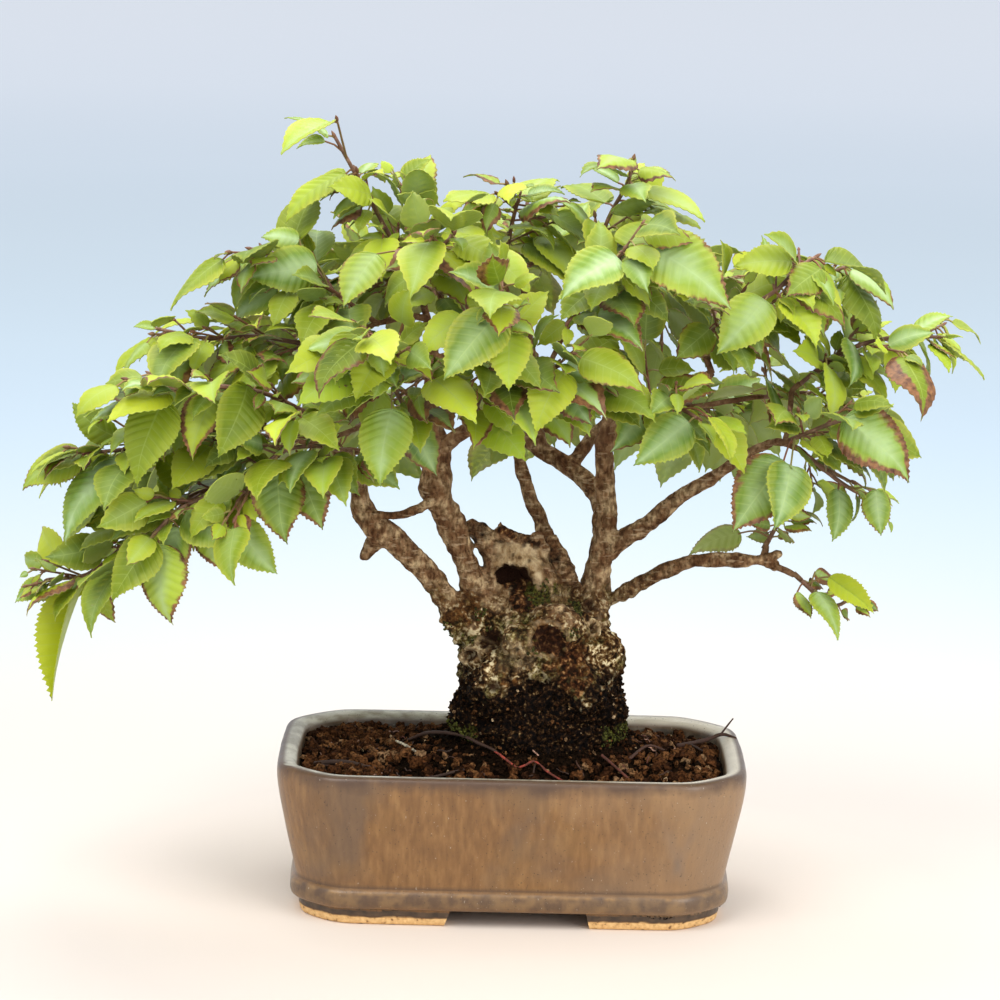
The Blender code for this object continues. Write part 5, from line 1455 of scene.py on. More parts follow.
def soil_bed(look):
    """The bed under the grains, from the pot's floor up, with the stump's hole."""
    bottom = FLOOR_TOP + NET_THICKNESS + 2 * FIT
    loops = [round_outline(pot_ring(height, inner_inset(height) + 0.4)) for height in (bottom, 40.0)]
    edge = round_outline(pot_ring(0.0, inner_inset(SOIL_EDGE) + 0.4))
    loops += [bed_ring(edge, k / BED_RINGS) for k in range(BED_RINGS + 1)]
    loops.append([(x, y, STUMP_BOTTOM - FIT) for x, y, _ in loops[-1]])
    points = np.array([point for loop in loops for point in loop])
    count = len(edge)
    last = (len(loops) - 1) * count
    faces = ring_faces(len(loops), count)
    faces += [tuple(range(count))[::-1], tuple(range(last, last + count))]
    soup = Soup("grain")
    soup.add(points, faces, 0, [0.12, 0, 0])
    return finish_piece(soup.make("soil_bed", [look]), "soil", "soil")


def inside_outline(x, y, ring):
    """True for a point inside a closed outline."""
    inside = False
    for a, b in zip(ring, ring[1:] + ring[:1]):
        if (a[1] > y) != (b[1] > y) and x < (b[0] - a[0]) * (y - a[1]) / (b[1] - a[1]) + a[0]:
            inside = not inside
    return inside


def in_stump_hole(x, y):
    """True over the hole that the stump fills."""
    return ((x - STUMP_X) / HOLE_HALF_WIDTH) ** 2 + ((y - STUMP_Y) / HOLE_HALF_DEPTH) ** 2 < 1


def granules(soup, ring, rng):
    """Granules of baked clay, and more and more humus towards the stump."""
    rounder, rougher = ball_template(2), ball_template(1)
    made = 0
    while made < GRANULES:
        x, y = rng.uniform(-92, 92), rng.uniform(-54, 54)
        if not inside_outline(x, y, ring) or in_stump_hole(x, y):
            continue
        near = math.hypot((x - STUMP_X) / 60.0, (y - STUMP_Y) / 42.0)
        humus = 1.10 - 0.55 * min(near, 1.3) + 0.35 * noise.noise(Vector((x, y, 9)) / 16.0)
        size = rng.uniform(1.0, 1.9) if rng.random() < 0.62 else rng.uniform(1.9, 3.0)
        template = rounder
        if rng.random() < humus:
            tint = rng.uniform(0.0, 0.40)
            size *= 0.55
            template = rougher
        else:
            tint = rng.choice((0.42, 0.5, 0.58, 0.66, 0.74, 0.84)) + rng.uniform(-0.05, 0.05)
        if rng.random() < PALE_GRANULES:
            tint = 1.0
            size *= 0.5
        z = soil_top(x, y) + rng.uniform(-1.0, 0.9)
        z = min(z, 65.0 - size + 10 * max(0.0, 1.25 - near))
        halves = [size * rng.uniform(0.65, 1.2) for _ in range(3)]
        soup.add(*lump(template, (x, y, z), halves, rng, 0.75), 0, [tint, 0, 0])
        made += 1


def humus_crumbs(soup, ring, rng):
    """Tiny crumbs round the stump."""
    template = ball_template(1)
    for _ in range(HUMUS_CRUMBS):
        turn, reach = rng.uniform(0, 2 * math.pi), rng.uniform(1.0, 1.7)
        x = STUMP_X + HOLE_HALF_WIDTH * reach * math.cos(turn)
        y = STUMP_Y + HOLE_HALF_DEPTH * reach * math.sin(turn)
        if not inside_outline(x, y, ring):
            continue
        size = rng.uniform(0.4, 1.0)
        halves = [size * rng.uniform(0.65, 1.3) for _ in range(3)]
        tint = rng.uniform(0.0, 0.38) if rng.random() < 0.85 else rng.uniform(0.4, 0.9)
        z = soil_top(x, y) + rng.uniform(-0.6, 0.4)
        soup.add(*lump(template, (x, y, z), halves, rng, 0.75), 0, [tint, 0, 0])


def soil_grains(look, rng):
    """Granules and crumbs lying on the bed."""
    soup = Soup("grain")
    ring = pot_ring(0.0, inner_inset(SOIL_EDGE) + 2.2)
    granules(soup, ring, rng)
    humus_crumbs(soup, ring, rng)
    return finish_piece(soup.make("soil_grains", [look], GRAIN_SHARP), "soil")


# Roots and sticks on the soil: tint, then points of x, y, height above the soil, radius
ROOTS = [
    (0.16, [(-48, 4, 0.2, 0.5), (-43, 1, 1.6, 0.7), (-37, -3, 2.6, 0.85), (-29, -11, 2.4, 0.8),
            (-21, -19, 2.2, 0.75), (-14, -27, 1.8, 0.7), (-8, -32, 1.5, 0.6), (-4, -36, 1.2, 0.4)]),
    (0.60, [(-8, -32, 1.5, 0.5), (-3, -37, 1.4, 0.55), (2, -41, 1.0, 0.45)]),
    (0.60, [(3, -41, 1.2, 0.45), (6, -40, 1.7, 0.5), (9, -38.5, 2.0, 0.5), (12, -40, 1.8, 0.4),
            (14, -42, 1.6, 0.5), (18, -45, 1.5, 0.5), (25, -50, 0.8, 0.35)]),
    (1.00, [(-50, 0, 2.0, 0.5), (-46, -9, 2.2, 0.6), (-40, -19, 0.8, 0.5)]),
    (0.05, [(-84, -20, 1.0, 1.0), (-71, -21, 2.0, 1.1), (-58, -29, 1.0, 0.9)]),
    (0.40, [(38, -29, 1.0, 0.7), (42, -33, 2.0, 0.6), (50, -43, 1.2, 0.5)]),
    (0.34, [(50, -26, 1.0, 0.7), (58, -13, 2.2, 0.6), (66, -8, 1.6, 0.5)]),
    (0.20, [(72, 8, 1.5, 1.0), (84, 20, 4.5, 0.95), (92, 24, 8.0, 0.8), (98, 22, 7.0, 0.6)]),
    (0.20, [(91, 23, 7.6, 0.5), (95, 27, 12.0, 0.4), (97, 29, 14.0, 0.3)]),
    (0.05, [(78, 12, 2.5, 0.5), (83, 4, 2.0, 0.4)]),
    (0.05, [(-20, -40, 1.2, 0.6), (-34, -44, 1.8, 0.6), (-50, -47, 1.0, 0.5)]),
]


def loose_roots(look, rng):
    """The roots and sticks of the table, and fine rootlets strewn over the soil."""
    soup = Soup("grain")
    for tint, stops in ROOTS:
        route = [(x, y, soil_top(x, y) + rise) for x, y, rise, _ in stops]
        places, radii = smooth_route(route, [stop[3] for stop in stops], 1.6)
        soup.add(*pipe(places, radii, 8, 0.25, 1.6), 0, [tint, 0, 0])
    for _ in range(ROOTLETS):
        x, y = rng.uniform(-84, 84), rng.uniform(-48, 46)
        if not inside_outline(x, y, pot_ring(0.0, 16.0)):
            continue
        turn, size = rng.uniform(0, 6.28), rng.uniform(3, 8)
        stops = []
        for _ in range(4):
            turn += rng.uniform(-0.6, 0.6)
            stops.append((x, y, soil_top(x, y) + rng.uniform(0.8, 2.2)))
            x, y = x + math.cos(turn) * size / 3, y + math.sin(turn) * size / 3
        places, radii = smooth_route(stops, [rng.uniform(0.18, 0.36)] * 4, 1.5)
        tint = rng.choice((0.05, 0.2, 0.25, 0.3, 0.35, 0.4, 0.8))
        soup.add(*pipe(places, radii, 5, 0.3, 1.2), 0, [tint, 0, 0])
    return finish_piece(soup.make("loose_roots", [look]), "bark")


# Trunk

# Hollows of the stump's skin: middle, reach and depth
FINE_HOLLOWS = [((24, -6, 136), 7.0, 3.0), ((10, -32, 100), 7.0, 3.0), ((-30, -6, 118), 8.0, 2.0),
                ((44, 2, 122), 9.0, 4.5), ((46.5, -1, 116), 9.0, 5.5),
                ((49, -4, 104), 9.0, 4.0), ((-30, -6, 86), 9.0, 2.0), ((-34, -6, 93), 11.0, 3.5)]
WOUND = Vector((14, -30, 119.5))
WOUND_SKIN = Vector((23, -28, 108))
CAVITY = Vector((-0.8, -14, 142))
CAVITY_FOOT = Vector((4, -16, 134))
BURL = Vector((0, -31, 113))
STUB = Vector((1, -4, 148))
STUB_TOP = Vector((1, -4, 156))
# Darker bark at the dead arm, and a painted shadow beside the stub: middle, reach, share
DARK_SPOTS = [(Vector((-14, -4, 159)), 13, 0.34), (Vector((15, -3, 147)), 11, 0.33)]
# The front view looks down by this slope
VIEW_SLOPE = 0.185
# Small holes: the middle, the radius and the depth; those with a raised ring come first
RING_SCARS = [(Vector((-18.3, -20, 109.7)), 2.6, 2.0), (Vector((-13.3, -24, 115.5)), 2.0, 1.6),
              (Vector((33, -20, 122.6)), 2.0, 1.6)]
PITS = [(Vector((-1.6, -13, 152.2)), 1.0, 0.8), (Vector((3.1, -12, 156.6)), 1.2, 1.0),
        (Vector((8.2, -10, 155.9)), 1.6, 1.4),
        (Vector((5.5, -13, 150)), 0.9, 0.8), (Vector((-9.1, -26, 118)), 4.6, 4.0),
        (Vector((1, -31, 115.5)), 1.3, 1.2), (Vector((5, -31, 112)), 1.1, 1.0),
        (Vector((-2.5, -30, 112)), 1.0, 0.9), (Vector((-4, -30, 107)), 1.3, 1.0),
        (Vector((31, -14, 131)), 3.0, 2.4), (Vector((40, -14, 104)), 1.4, 1.0),
        (Vector((-8, -20, 98)), 2.6, 1.6), (Vector((21, -22, 131)), 1.1, 1.2)]
# Moss grows in these nooks at the foot of the limbs
MOSSY_SPOTS = [Vector((-8, -20, 131)), Vector((-2, -20, 131)), Vector((4, -19, 132)),
               Vector((9, -16, 135)), Vector((14, -15, 137)), Vector((19, -14, 138)),
               Vector((27, -13, 134)), Vector((31, -12, 131))]
# Wood too small for the solids: the broken bark on the dead stub, and a ridge beside it
FINE_WOOD = [[(-12, -3, 158, 2.4), (-7, -7, 160.5, 2.5), (-2, -8, 159.5, 2.3), (4, -8, 157.3, 2.3),
              (9, -6, 155.5, 2.4), (13, -3, 153, 2.6)],
             [(-15.5, -7, 136, 5.0), (-18.2, -8, 143, 4.0), (-21.6, -8, 152, 3.6),
              (-26, -8, 162, 4.7), (-30.3, -8, 171, 4.8)],
             [(14, 3, 157, 3.2), (17, 1, 150, 4.6), (20, -1, 143, 5.6), (23, -4, 136, 6.5)],
             [(-6.5, -7, 160, 1.6), (-7.2, -7, 164.6, 0.9)], [(-5, -8, 160, 1.6), (2, -9, 160.2, 0.9)],
             [(-17, -2, 162.3, 4.1), (-13.5, -3, 157, 4.7), (-9.5, -4, 150, 5.0), (-8, -5, 143, 6.0),
              (-10, -5, 135, 7.0)]]
BARK_CELL = 1.0
# Above this height the wood is thin, and its bark stands out less
THIN_BARK_FROM = 168
MOSS_TUFTS = 900
EARTH_CRUMBS = 1600
GROOVE_CRUMBS = 60


def swell(distance, reach):
    """A round bulge: 1 in the middle, 0 from this distance on."""
    return max(0.0, 1.0 - (distance / reach) ** 2)


def flat_reach(place, middle):
    """Distance from a mark on the front, as the front view shows it."""
    away = place - middle
    return Vector((away.x, away.y * 0.1, away.z + VIEW_SLOPE * away.y)).length


def cavity_reach(place):
    """Distance from the cavity's middle, counted along its leaning ragged oval."""
    away = place - CAVITY
    across = 0.93 * away.x - 0.37 * away.z
    up = 0.37 * away.x + 0.93 * away.z
    ragged = 1.5 * noise.noise(away / 3.0 + Vector((2, 5, 8)))
    return Vector((across / 1.12, away.y * 0.35, up * 1.16)).length + ragged


def wound_reach(place):
    """Distance from the wound's middle, counted along its flat oval."""
    away = place - WOUND
    return Vector((away.x, away.y * 0.35, away.z * 1.15)).length


def rough_bark(place):
    """Folds, grain and flakes, rougher low on the stump and on the broken stub."""
    depth = 0.9 * noise.noise(place / 9.0) + 0.6 * noise.noise(place / 4.0)
    low = clamp((140 - place.z) / 20)
    depth += (0.40 + 1.0 * low) * noise.noise(place / 2.3) + 1.3 * low * noise.noise(place / 6.5)
    grain = Vector((place.x / 2.4, place.y / 2.4, place.z / 7.5))
    depth += 0.6 * low * noise.noise(grain) + 1.7 * low * (0.3 - abs(noise.noise(place / 3.4)))
    depth -= 2.4 * low * max(0.0, noise.noise(place / 6.0 + Vector((3, 1, 7))) - 0.2)
    depth += 1.7 * swell((place - STUB_TOP).length, 15) * (0.25 - abs(noise.noise(place / 2.6)))
    for middle, reach, sink in FINE_HOLLOWS:
        depth -= sink * swell((place - Vector(middle)).length, reach)
    return depth


def front_marks(place):
    """Relief of the cavity, the wound with its broken ring, the burl, the ring scars and pits."""
    depth = -10.5 * swell(cavity_reach(place), 7.4) ** 0.6
    wound = wound_reach(place)
    broken_ring = 1.5 + 1.6 * noise.noise(place / 4.5 + Vector((1, 2, 3)))
    depth += broken_ring * swell(abs(wound - 8.2), 2.6) - 1.6 * swell(wound, 7.2)
    burl = swell(flat_reach(place, BURL), 11)
    depth += 1.6 * burl - 1.8 * burl * abs(noise.noise(place / 2.2)) * 2
    for scar, reach, sink in RING_SCARS:
        away = flat_reach(place, scar)
        depth += 1.5 * swell(abs(away - reach - 0.8), 1.3) - sink * swell(away, reach)
    for pit, reach, sink in PITS:
        depth -= sink * swell(flat_reach(place, pit), reach)
    return depth


def bark_relief(place):
    """How far the fine bark stands out from the smooth wood, in millimetres."""
    return rough_bark(place) + (front_marks(place) if place.y <= 0 else 0.0)


def pale_wood(place, ragged, ragged_stub):
    """Bare wood on the dead stub; in front also on the callus, the burl and the ring scars."""
    stub = place - STUB
    pale = 2.2 - 1.9 * Vector((stub.x / 13, stub.y / 22, stub.z / 12.5)).length + 2 * ragged_stub
    above = place.z > 157 - 0.19 * place.x + 6 * ragged_stub
    pale = 0.0 if place.z <= 135 or above or place.x < -10.5 else clamp(pale)
    if place.y < 0:
        callus = abs(wound_reach(place) - 8.4) + 3 * abs(ragged_stub)
        pale = max(pale, 0.4 * swell(callus, 1.5))
        pale = max(pale, 0.5 * swell(flat_reach(place, BURL) + 0.4 * ragged, 9))
        for scar, reach, _ in RING_SCARS:
            pale = max(pale, 0.6 * swell(abs(flat_reach(place, scar) - reach - 0.8), 1.0))
    return pale


def rot_and_hollow(place, ragged, ragged_stub):
    """Red rot and painted shade in the hollows: in front the wound, the cavity and the pits; the
    stub's end.
    """
    red, painted_hollow_shade = 0.0, 0.0
    if place.y < 0:
        wound = wound_reach(place)
        skin = flat_reach(place, WOUND_SKIN) + 1.1 * ragged
        red = max(1.0 if wound < 7.0 else 0.0, 0.62 * min(1.0, 2 * swell(skin, 11)))
        red = max(red, min(1.0, 1.6 * swell(flat_reach(place, CAVITY_FOOT), 7.5)))
        painted_hollow_shade = 0.62 if wound + 0.3 * ragged_stub < 6.6 else 0.0
        inside = min(1.0, 4.0 * swell(cavity_reach(place), 7.6))
        red = max(red, inside)
        painted_hollow_shade = max(painted_hollow_shade, inside * clamp((place.z - 138.5) / 2))
        for mark, reach, _ in RING_SCARS + PITS:
            painted_hollow_shade = max(painted_hollow_shade, min(0.7, 1.6 * swell(flat_reach(place, mark), reach * 1.1)))
    broken = place - Vector((1, -6, 160 - 0.42 * place.x))
    end = Vector((broken.x / 3.5, broken.y / 2, broken.z)).length
    return max(red, 0.85 * swell(end, 4.5)), painted_hollow_shade


def bark_values(place):
    """Darkness of earth, of the dead arm and of a painted shadow beside the stub, bare wood, moss;
    wound, painted shade in the hollows, youth: each from 0 to 1.
    """
    ragged = 7 * noise.noise(place / 11.0) + 4 * noise.noise(place / 4.5)
    ragged_stub = 0.25 * noise.noise(place / 4.0)
    dark = clamp((114 + 1.6 * ragged - place.z) / 34)
    # The second spot is a painted shadow beside the stub
    for middle, reach, share in DARK_SPOTS:
        dark = max(dark, share * swell((place - middle).length, reach))
    nook = min((place - spot).length for spot in MOSSY_SPOTS) + 0.5 * ragged
    foot = swell(place.z - 76, 7) if abs(place.x - STUMP_X) > 26 else 0.0
    moss = max(0.9 * swell(nook, 8), 0.55 * swell(place.z - 122 + ragged * 1.5, 9), foot)
    pale = pale_wood(place, ragged, ragged_stub)
    young = clamp((place.z - 185) / 40)
    return [dark, pale, moss, *rot_and_hollow(place, ragged, ragged_stub), young]


def tapered(soup, wood, step, sides, rough, grain):
    """Adds a smooth tube along stops of x, y, z and radius."""
    places, radii = smooth_route([stop[:3] for stop in wood], [stop[3] for stop in wood], step)
    soup.add(*pipe(places, radii, sides, rough, grain))


def trunk_mesh():
    """The stump, limbs, branches and fine wood as overlapping closed shapes."""
    soup = Soup()
    for wood in list(LIMBS.values()) + list(BRANCHES.values()):
        tapered(soup, wood, 2.0, 16, 0.14, 5.0)
    for wood in FINE_WOOD:
        tapered(soup, wood, 1.5, 12, 0.5, 2.6)
    limbs = bpy.data.meshes.new("limbs")
    limbs.from_pydata((np.vstack(soup.points) * MM).tolist(), [], soup.faces)
    shape = stump_shape()
    shape.from_mesh(limbs)
    bmesh.ops.recalc_face_normals(shape, faces=shape.faces)
    mesh = bpy.data.meshes.new("trunk_wood")
    shape.to_mesh(mesh)
    shape.free()
    return mesh


def raise_bark(mesh):
    """Moves each point by the bark's relief, and stores the values that its material reads."""
    shape = bmesh.new()
    shape.from_mesh(mesh)
    shape.normal_update()
    layers = [shape.verts.layers.float_vector.new(label) for label in ("bark_map", "bark_more")]
    moves = [(vert, vert.normal * bark_relief(vert.co / MM) * MM) for vert in shape.verts]
    for vert, move in moves:
        values = bark_values(vert.co / MM)
        vert[layers[0]], vert[layers[1]] = Vector(values[:3]), Vector(values[3:])
        vert.co += move * (1.0 if vert.co.z < THIN_BARK_FROM * MM else 0.55)
    shape.to_mesh(mesh)
    shape.free()


def fine_trunk(look, voxel):
    """The stump and the heavy limbs under one skin, with bark relief, hollows and scars."""
    trunk = show("trunk_wood", trunk_mesh())
    remesh = trunk.modifiers.new("one_skin", 'REMESH')
    remesh.mode = 'VOXEL'
    remesh.voxel_size = voxel * MM
    smooth = trunk.modifiers.new("soft", 'SMOOTH')
    smooth.iterations = 2
    apply_modifiers(trunk)
    keep_largest_body(trunk.data)
    raise_bark(trunk.data)
    cut_flat(trunk.data, STUMP_BOTTOM)
    trunk.data.transform(Matrix.Translation(SHIFT))
    paint(trunk.data, look)
    return finish_piece(trunk, "bark", "trunk")


def fine_branches(look, branches):
    """The lighter wood between the limbs and the sprays."""
    soup = Soup("bark_map", "bark_more")
    for route, radii in branches:
        places, sizes = smooth_route(route, radii, 2.2)
        soup.add(*pipe(places, sizes * 0.9, 10, 0.2, 3.0), 0, [0, 0, 0, 0, 0, 0.7])
    return finish_piece(soup.make("branch_wood", [look]), "bark")


def bark_spots(trunk, rng, tries):
    """Points of the trunk in random order: the place in millimetres, and the normal."""
    points = trunk.data.vertices
    for index in rng.sample(range(len(points)), min(tries, len(points))):
        yield (points[index].co - SHIFT) / MM, points[index].normal


def trunk_moss(look, trunk, rng):
    """Tufts of moss that stand out from the bark."""
    soup = Soup("grain")
    template = ball_template(1)
    kept = 0
    for place, normal in bark_spots(trunk, rng, 26000):
        _, pale, moss, _, painted_hollow_shade, _ = bark_values(place)
        patch = noise.noise(place / 7.0 + Vector((5, 5, 5)))
        if moss * (0.5 + 1.3 * patch) < 0.40 or painted_hollow_shade > 0.2 or pale > 0.3 or place.z < 58:
            continue
        size = rng.uniform(0.28, 0.65)
        halves = [size * rng.uniform(0.8, 1.4) for _ in range(3)]
        tuft = lump(template, place + normal * size * 0.2, halves, rng, 0.5)
        soup.add(*tuft, 0, [rng.random() * (0.85 if place.z < 86 else 0.6), 0, 0])
        kept += 1
        if kept == MOSS_TUFTS:
            break
    return finish_piece(soup.make("moss_tufts", [look]), "bark")


def earth_crumbs(look, trunk, rng):
    """Black and brown crumbs that stick to the foot of the stump, and lie in the pot's groove."""
    soup = Soup("grain")
    template = ball_template(1)
    kept = 0
    for place, _ in bark_spots(trunk, rng, 20000):
        if place.z < 62 or place.z > 104 or bark_values(place)[0] < 0.45:
            continue
        size = rng.uniform(0.35, 0.95)
        halves = [size * rng.uniform(0.7, 1.3) for _ in range(3)]
        tint = rng.uniform(0, 0.4) if rng.random() < 0.88 else rng.uniform(0.45, 1.0)
        soup.add(*lump(template, place, halves, rng, 0.5), 0, [tint, 0, 0])
        kept += 1
        if kept == EARTH_CRUMBS:
            break
    for _ in range(GROOVE_CRUMBS):
        x = rng.uniform(58, 90)
        y = -52.5 + max(0.0, x - 66) * 0.78 + rng.uniform(-0.3, 0.3)
        halves = [rng.uniform(0.15, 0.4) for _ in range(3)]
        soup.add(*lump(template, (x, y, rng.uniform(5.8, 7.2)), halves, rng, 0.5), 0, [0.2, 0, 0])
    return finish_piece(soup.make("earth_crumbs", [look]), "soil")


# Foliage

# The eye of the front view
VIEW_FROM = Vector((-7.5, -1465, 445))
# The top shoot's end carries its two drawn leaves and no others
LEADER_BARE_FROM = 313
# Leading leaves that are folded along their middle: the tip, the share of the width and the fold
FOLDED_LEAVES = [((-193, -36, 92), 0.42, 1.5), ((152, -22, 133), 0.62, 0.9)]
# Shoots that close gaps in the crown: the share of the spray's twig they leave at, and their end
GAP_SHOOTS = {"rear_high_right": [(0.02, (46, 27, 240)), (0.25, (61, 36, 238))],
              "front_right": [(0.05, (51, -24, 243))],
              "rear_right": [(0.05, (104, 24, 238))]}
# The crown's outline in the front view, as x and z at the pot's middle plane
CROWN_OUTLINE = [
    (-215, 125), (-206, 169), (-212, 178), (-188, 214), (-157, 239), (-160, 246), (-152, 247),
    (-132, 261), (-131, 274), (-110, 282), (-101, 295), (-96, 316), (-100, 336), (-82, 338),
    (-75, 325), (-73, 316), (-54, 321), (-40, 322), (-23, 313), (-14, 308), (10, 312), (23, 319),
    (35, 323), (59, 320), (71, 301), (89, 283), (101, 291), (116, 284), (138, 279), (156, 263),
    (161, 257), (180, 258), (195, 247), (196, 232), (161, 224), (169, 186), (167, 162), (142, 160),
    (136, 151), (155, 134), (156, 128), (139, 116), (118, 128), (108, 150), (74, 151), (52, 162),
    (35, 172), (20, 174), (13, 190), (-8, 184), (-20, 178), (-33, 152), (-48, 153), (-59, 170),
    (-79, 161), (-103, 138), (-120, 151), (-135, 130), (-149, 113), (-176, 113), (-197, 82)]
# A leaf's half width by the share of its length
LEAF_WIDTHS = ([0.0, 0.03, 0.08, 0.16, 0.26, 0.38, 0.50, 0.62, 0.74, 0.84, 0.92, 0.97, 1.0],
               [0.10, 0.44, 0.68, 0.87, 0.98, 1.0, 0.93, 0.78, 0.57, 0.35, 0.15, 0.06, 0.02])
# Teeth of the margin by the number of rows from vein to vein
TEETH = {2: [1.0, -1.0], 4: [1.0, -0.5, 0.25, -0.8]}
# Half the drawn blade's thickness, half of what an added leaf keeps free, and a shoot's clearance
FINE_BLADE_HALF = 0.16
ADDED_BLADE_HALF = 0.35
SHOOT_CLEAR = 0.1
# Sizes tried one after another for each added leaf
LEAF_TRIES = (1, 1, 1, 0.85, 0.7, 0.58, 0.48, 0.4)
LEAF_SPACING = 4.5
# The size of the added leaves, and on the sparse sprays
ADDED_LEAF = 27.0
SMALL_ADDED_LEAF = 12.0
# What is drawn for each leaf, in this order: wear of its edge, phase of its waves, fold along
# the midrib, curl, droop of the tip, sway, arch and twist; the least and the greatest
POSTURE = [("wear", 0.25, 1.0), ("phase", 0, 6.28), ("fold", 0.02, 0.5), ("curl", 0.02, 0.42),
           ("droop", 0.0, 0.24), ("sway", -0.13, 0.13), ("arch", 0.04, 0.09),
           ("twist", -0.55, 0.55)]
# How much of each spray is young and lime green
YOUNG_SPRAYS = {"leader": 0.75, "right_tip": 0.8, "left_upper": 0.35, "top_right": 0.45,
                "top_middle": 0.3, "right_high": 0.4}


def leaf_plan(length, half, veins, steps, columns):
    """The flat blade as a grid: shares across and along it, x, y, and each row's place in a vein."""
    number = np.arange(veins * steps + 1)
    edge = 0.012 + 0.988 * number / number[-1]
    wide = np.interp(edge, *LEAF_WIDTHS)
    middle = np.maximum(edge - 0.55 * half / length * wide, 0.003 * number)
    middle[-1] = 0.995
    tooth = np.array([TEETH[steps][k % steps] for k in number])
    tooth[0] = tooth[-1] = 0.0
    pitch = length * 1.15 / veins
    shares = np.linspace(-1, 1, 2 * columns + 1)
    near = np.abs(shares)
    t = middle[:, None] + (edge - middle)[:, None] * near[None, :] ** 1.1
    bite = tooth[:, None] * (near[None, :] ** 8) * (0.11 if steps == 4 else 0.065) * pitch
    x = np.sign(shares)[None, :] * (near[None, :] * (wide * half)[:, None] + bite)
    return shares, t, x, t * length + bite * 0.9, number / steps


def leaf_bend(leaf, length, half, shares, t, x, pleat):
    """The grid's height and its x once folded, curled, pleated, wavy, drooping and twisted."""
    near = np.abs(shares)
    z = leaf["arch"] * length * 4 * t * (1 - t)
    z = z + leaf["fold"] * np.abs(x) - leaf["curl"] * x * x / half
    z = z - pleat[:, None] * 0.030 * half * np.sin(math.pi * np.minimum(near, 0.85))[None, :]
    z = z + 0.035 * half * near[None, :] ** 2 * np.sin(7 * t + leaf["phase"] + 2 * shares[None, :])
    z = z - leaf["droop"] * length * np.maximum(0, t - 0.55) ** 2 * 3
    x = x + leaf["sway"] * length * t * (1 - t)
    turn = leaf["twist"] * (t - 0.3)
    return x * np.cos(turn) - z * np.sin(turn), x * np.sin(turn) + z * np.cos(turn)


def shell_faces(rows, width):
    """Faces of a closed shell: a grid above, the same below, and the rim between."""
    total = rows * width
    faces = []
    for r in range(rows - 1):
        for c in range(width - 1):
            a = r * width + c
            top = (a, a + 1, a + 1 + width, a + width)
            faces.append(top)
            faces.append(tuple(corner + total for corner in reversed(top)))
    rim = list(range(width)) + [r * width + width - 1 for r in range(1, rows)]
    rim += [(rows - 1) * width + c for c in range(width - 2, -1, -1)]
    rim += [r * width for r in range(rows - 2, 0, -1)]
    for a, b in zip(rim, rim[1:] + rim[:1]):
        faces.append((b, a, a + total, b + total))
    return faces


def leaf_values(leaf, near, t, veins_passed):
    """What the leaf's material reads at each point, first above and then below."""
    rows, width = t.shape
    total = rows * width
    phase = veins_passed % 1.0
    values = np.zeros((2 * total, 9))
    values[:, 0] = np.tile(np.tile(near, rows), 2)
    values[:, 1] = np.tile(np.repeat(2 * np.minimum(phase, 1 - phase), width), 2)
    values[:, 2] = np.tile(np.clip(t, 0, 1).ravel(), 2)
    values[:, 3:6] = [leaf["tint"], leaf["age"], leaf["brown"]]
    values[:total, 6] = 1.0
    values[:, 7] = leaf["wear"]
    # The share of painted sheen, which also cools the green
    values[:, 8] = leaf["waxy"]
    return values


def fine_leaf(leaf, fine):
    """The blade as a thin closed shell, pleated along its veins, with a toothed margin."""
    length = (leaf["tip"] - leaf["base"]).length
    half = leaf["half_width"]
    least, pitch, steps, columns = (7, 3.1, 4, 3) if fine else (5, 2.9, 2, 2)
    veins = max(least, min(12, round(length / pitch)))
    shares, t, x, y, veins_passed = leaf_plan(length, half, veins, steps, columns)
    pleat = np.cos(2 * math.pi * veins_passed)
    x, z = leaf_bend(leaf, length, half, shares, t, x, pleat)
    ahead = np.array((leaf["tip"] - leaf["base"]).normalized())
    normal = np.array(leaf["normal"])
    side = np.cross(ahead, normal)
    sheet = (np.array(leaf["base"]) + x.reshape(-1, 1) * side + y.reshape(-1, 1) * ahead
             + z.reshape(-1, 1) * normal)
    lift = normal * FINE_BLADE_HALF
    points = np.vstack([sheet + lift, sheet - lift])
    return points, shell_faces(*t.shape), leaf_values(leaf, np.abs(shares), t, veins_passed)


def petiole(leaf):
    """The leaf's stalk, bent a little, from the twig into the blade's base."""
    root, base = np.array(leaf["root"]), np.array(leaf["base"])
    run = np.array(leaf["tip"]) - base
    run /= np.linalg.norm(run)
    reach = np.linalg.norm(base - root)
    middle = (root + base) / 2 + np.array([0, 0, 0.10 * reach])
    end = base + run * 1.2
    places, radii = smooth_route([root, middle, base, end], [0.55, 0.40, 0.40, 0.3], 3.5)
    return pipe(places, radii, 4)


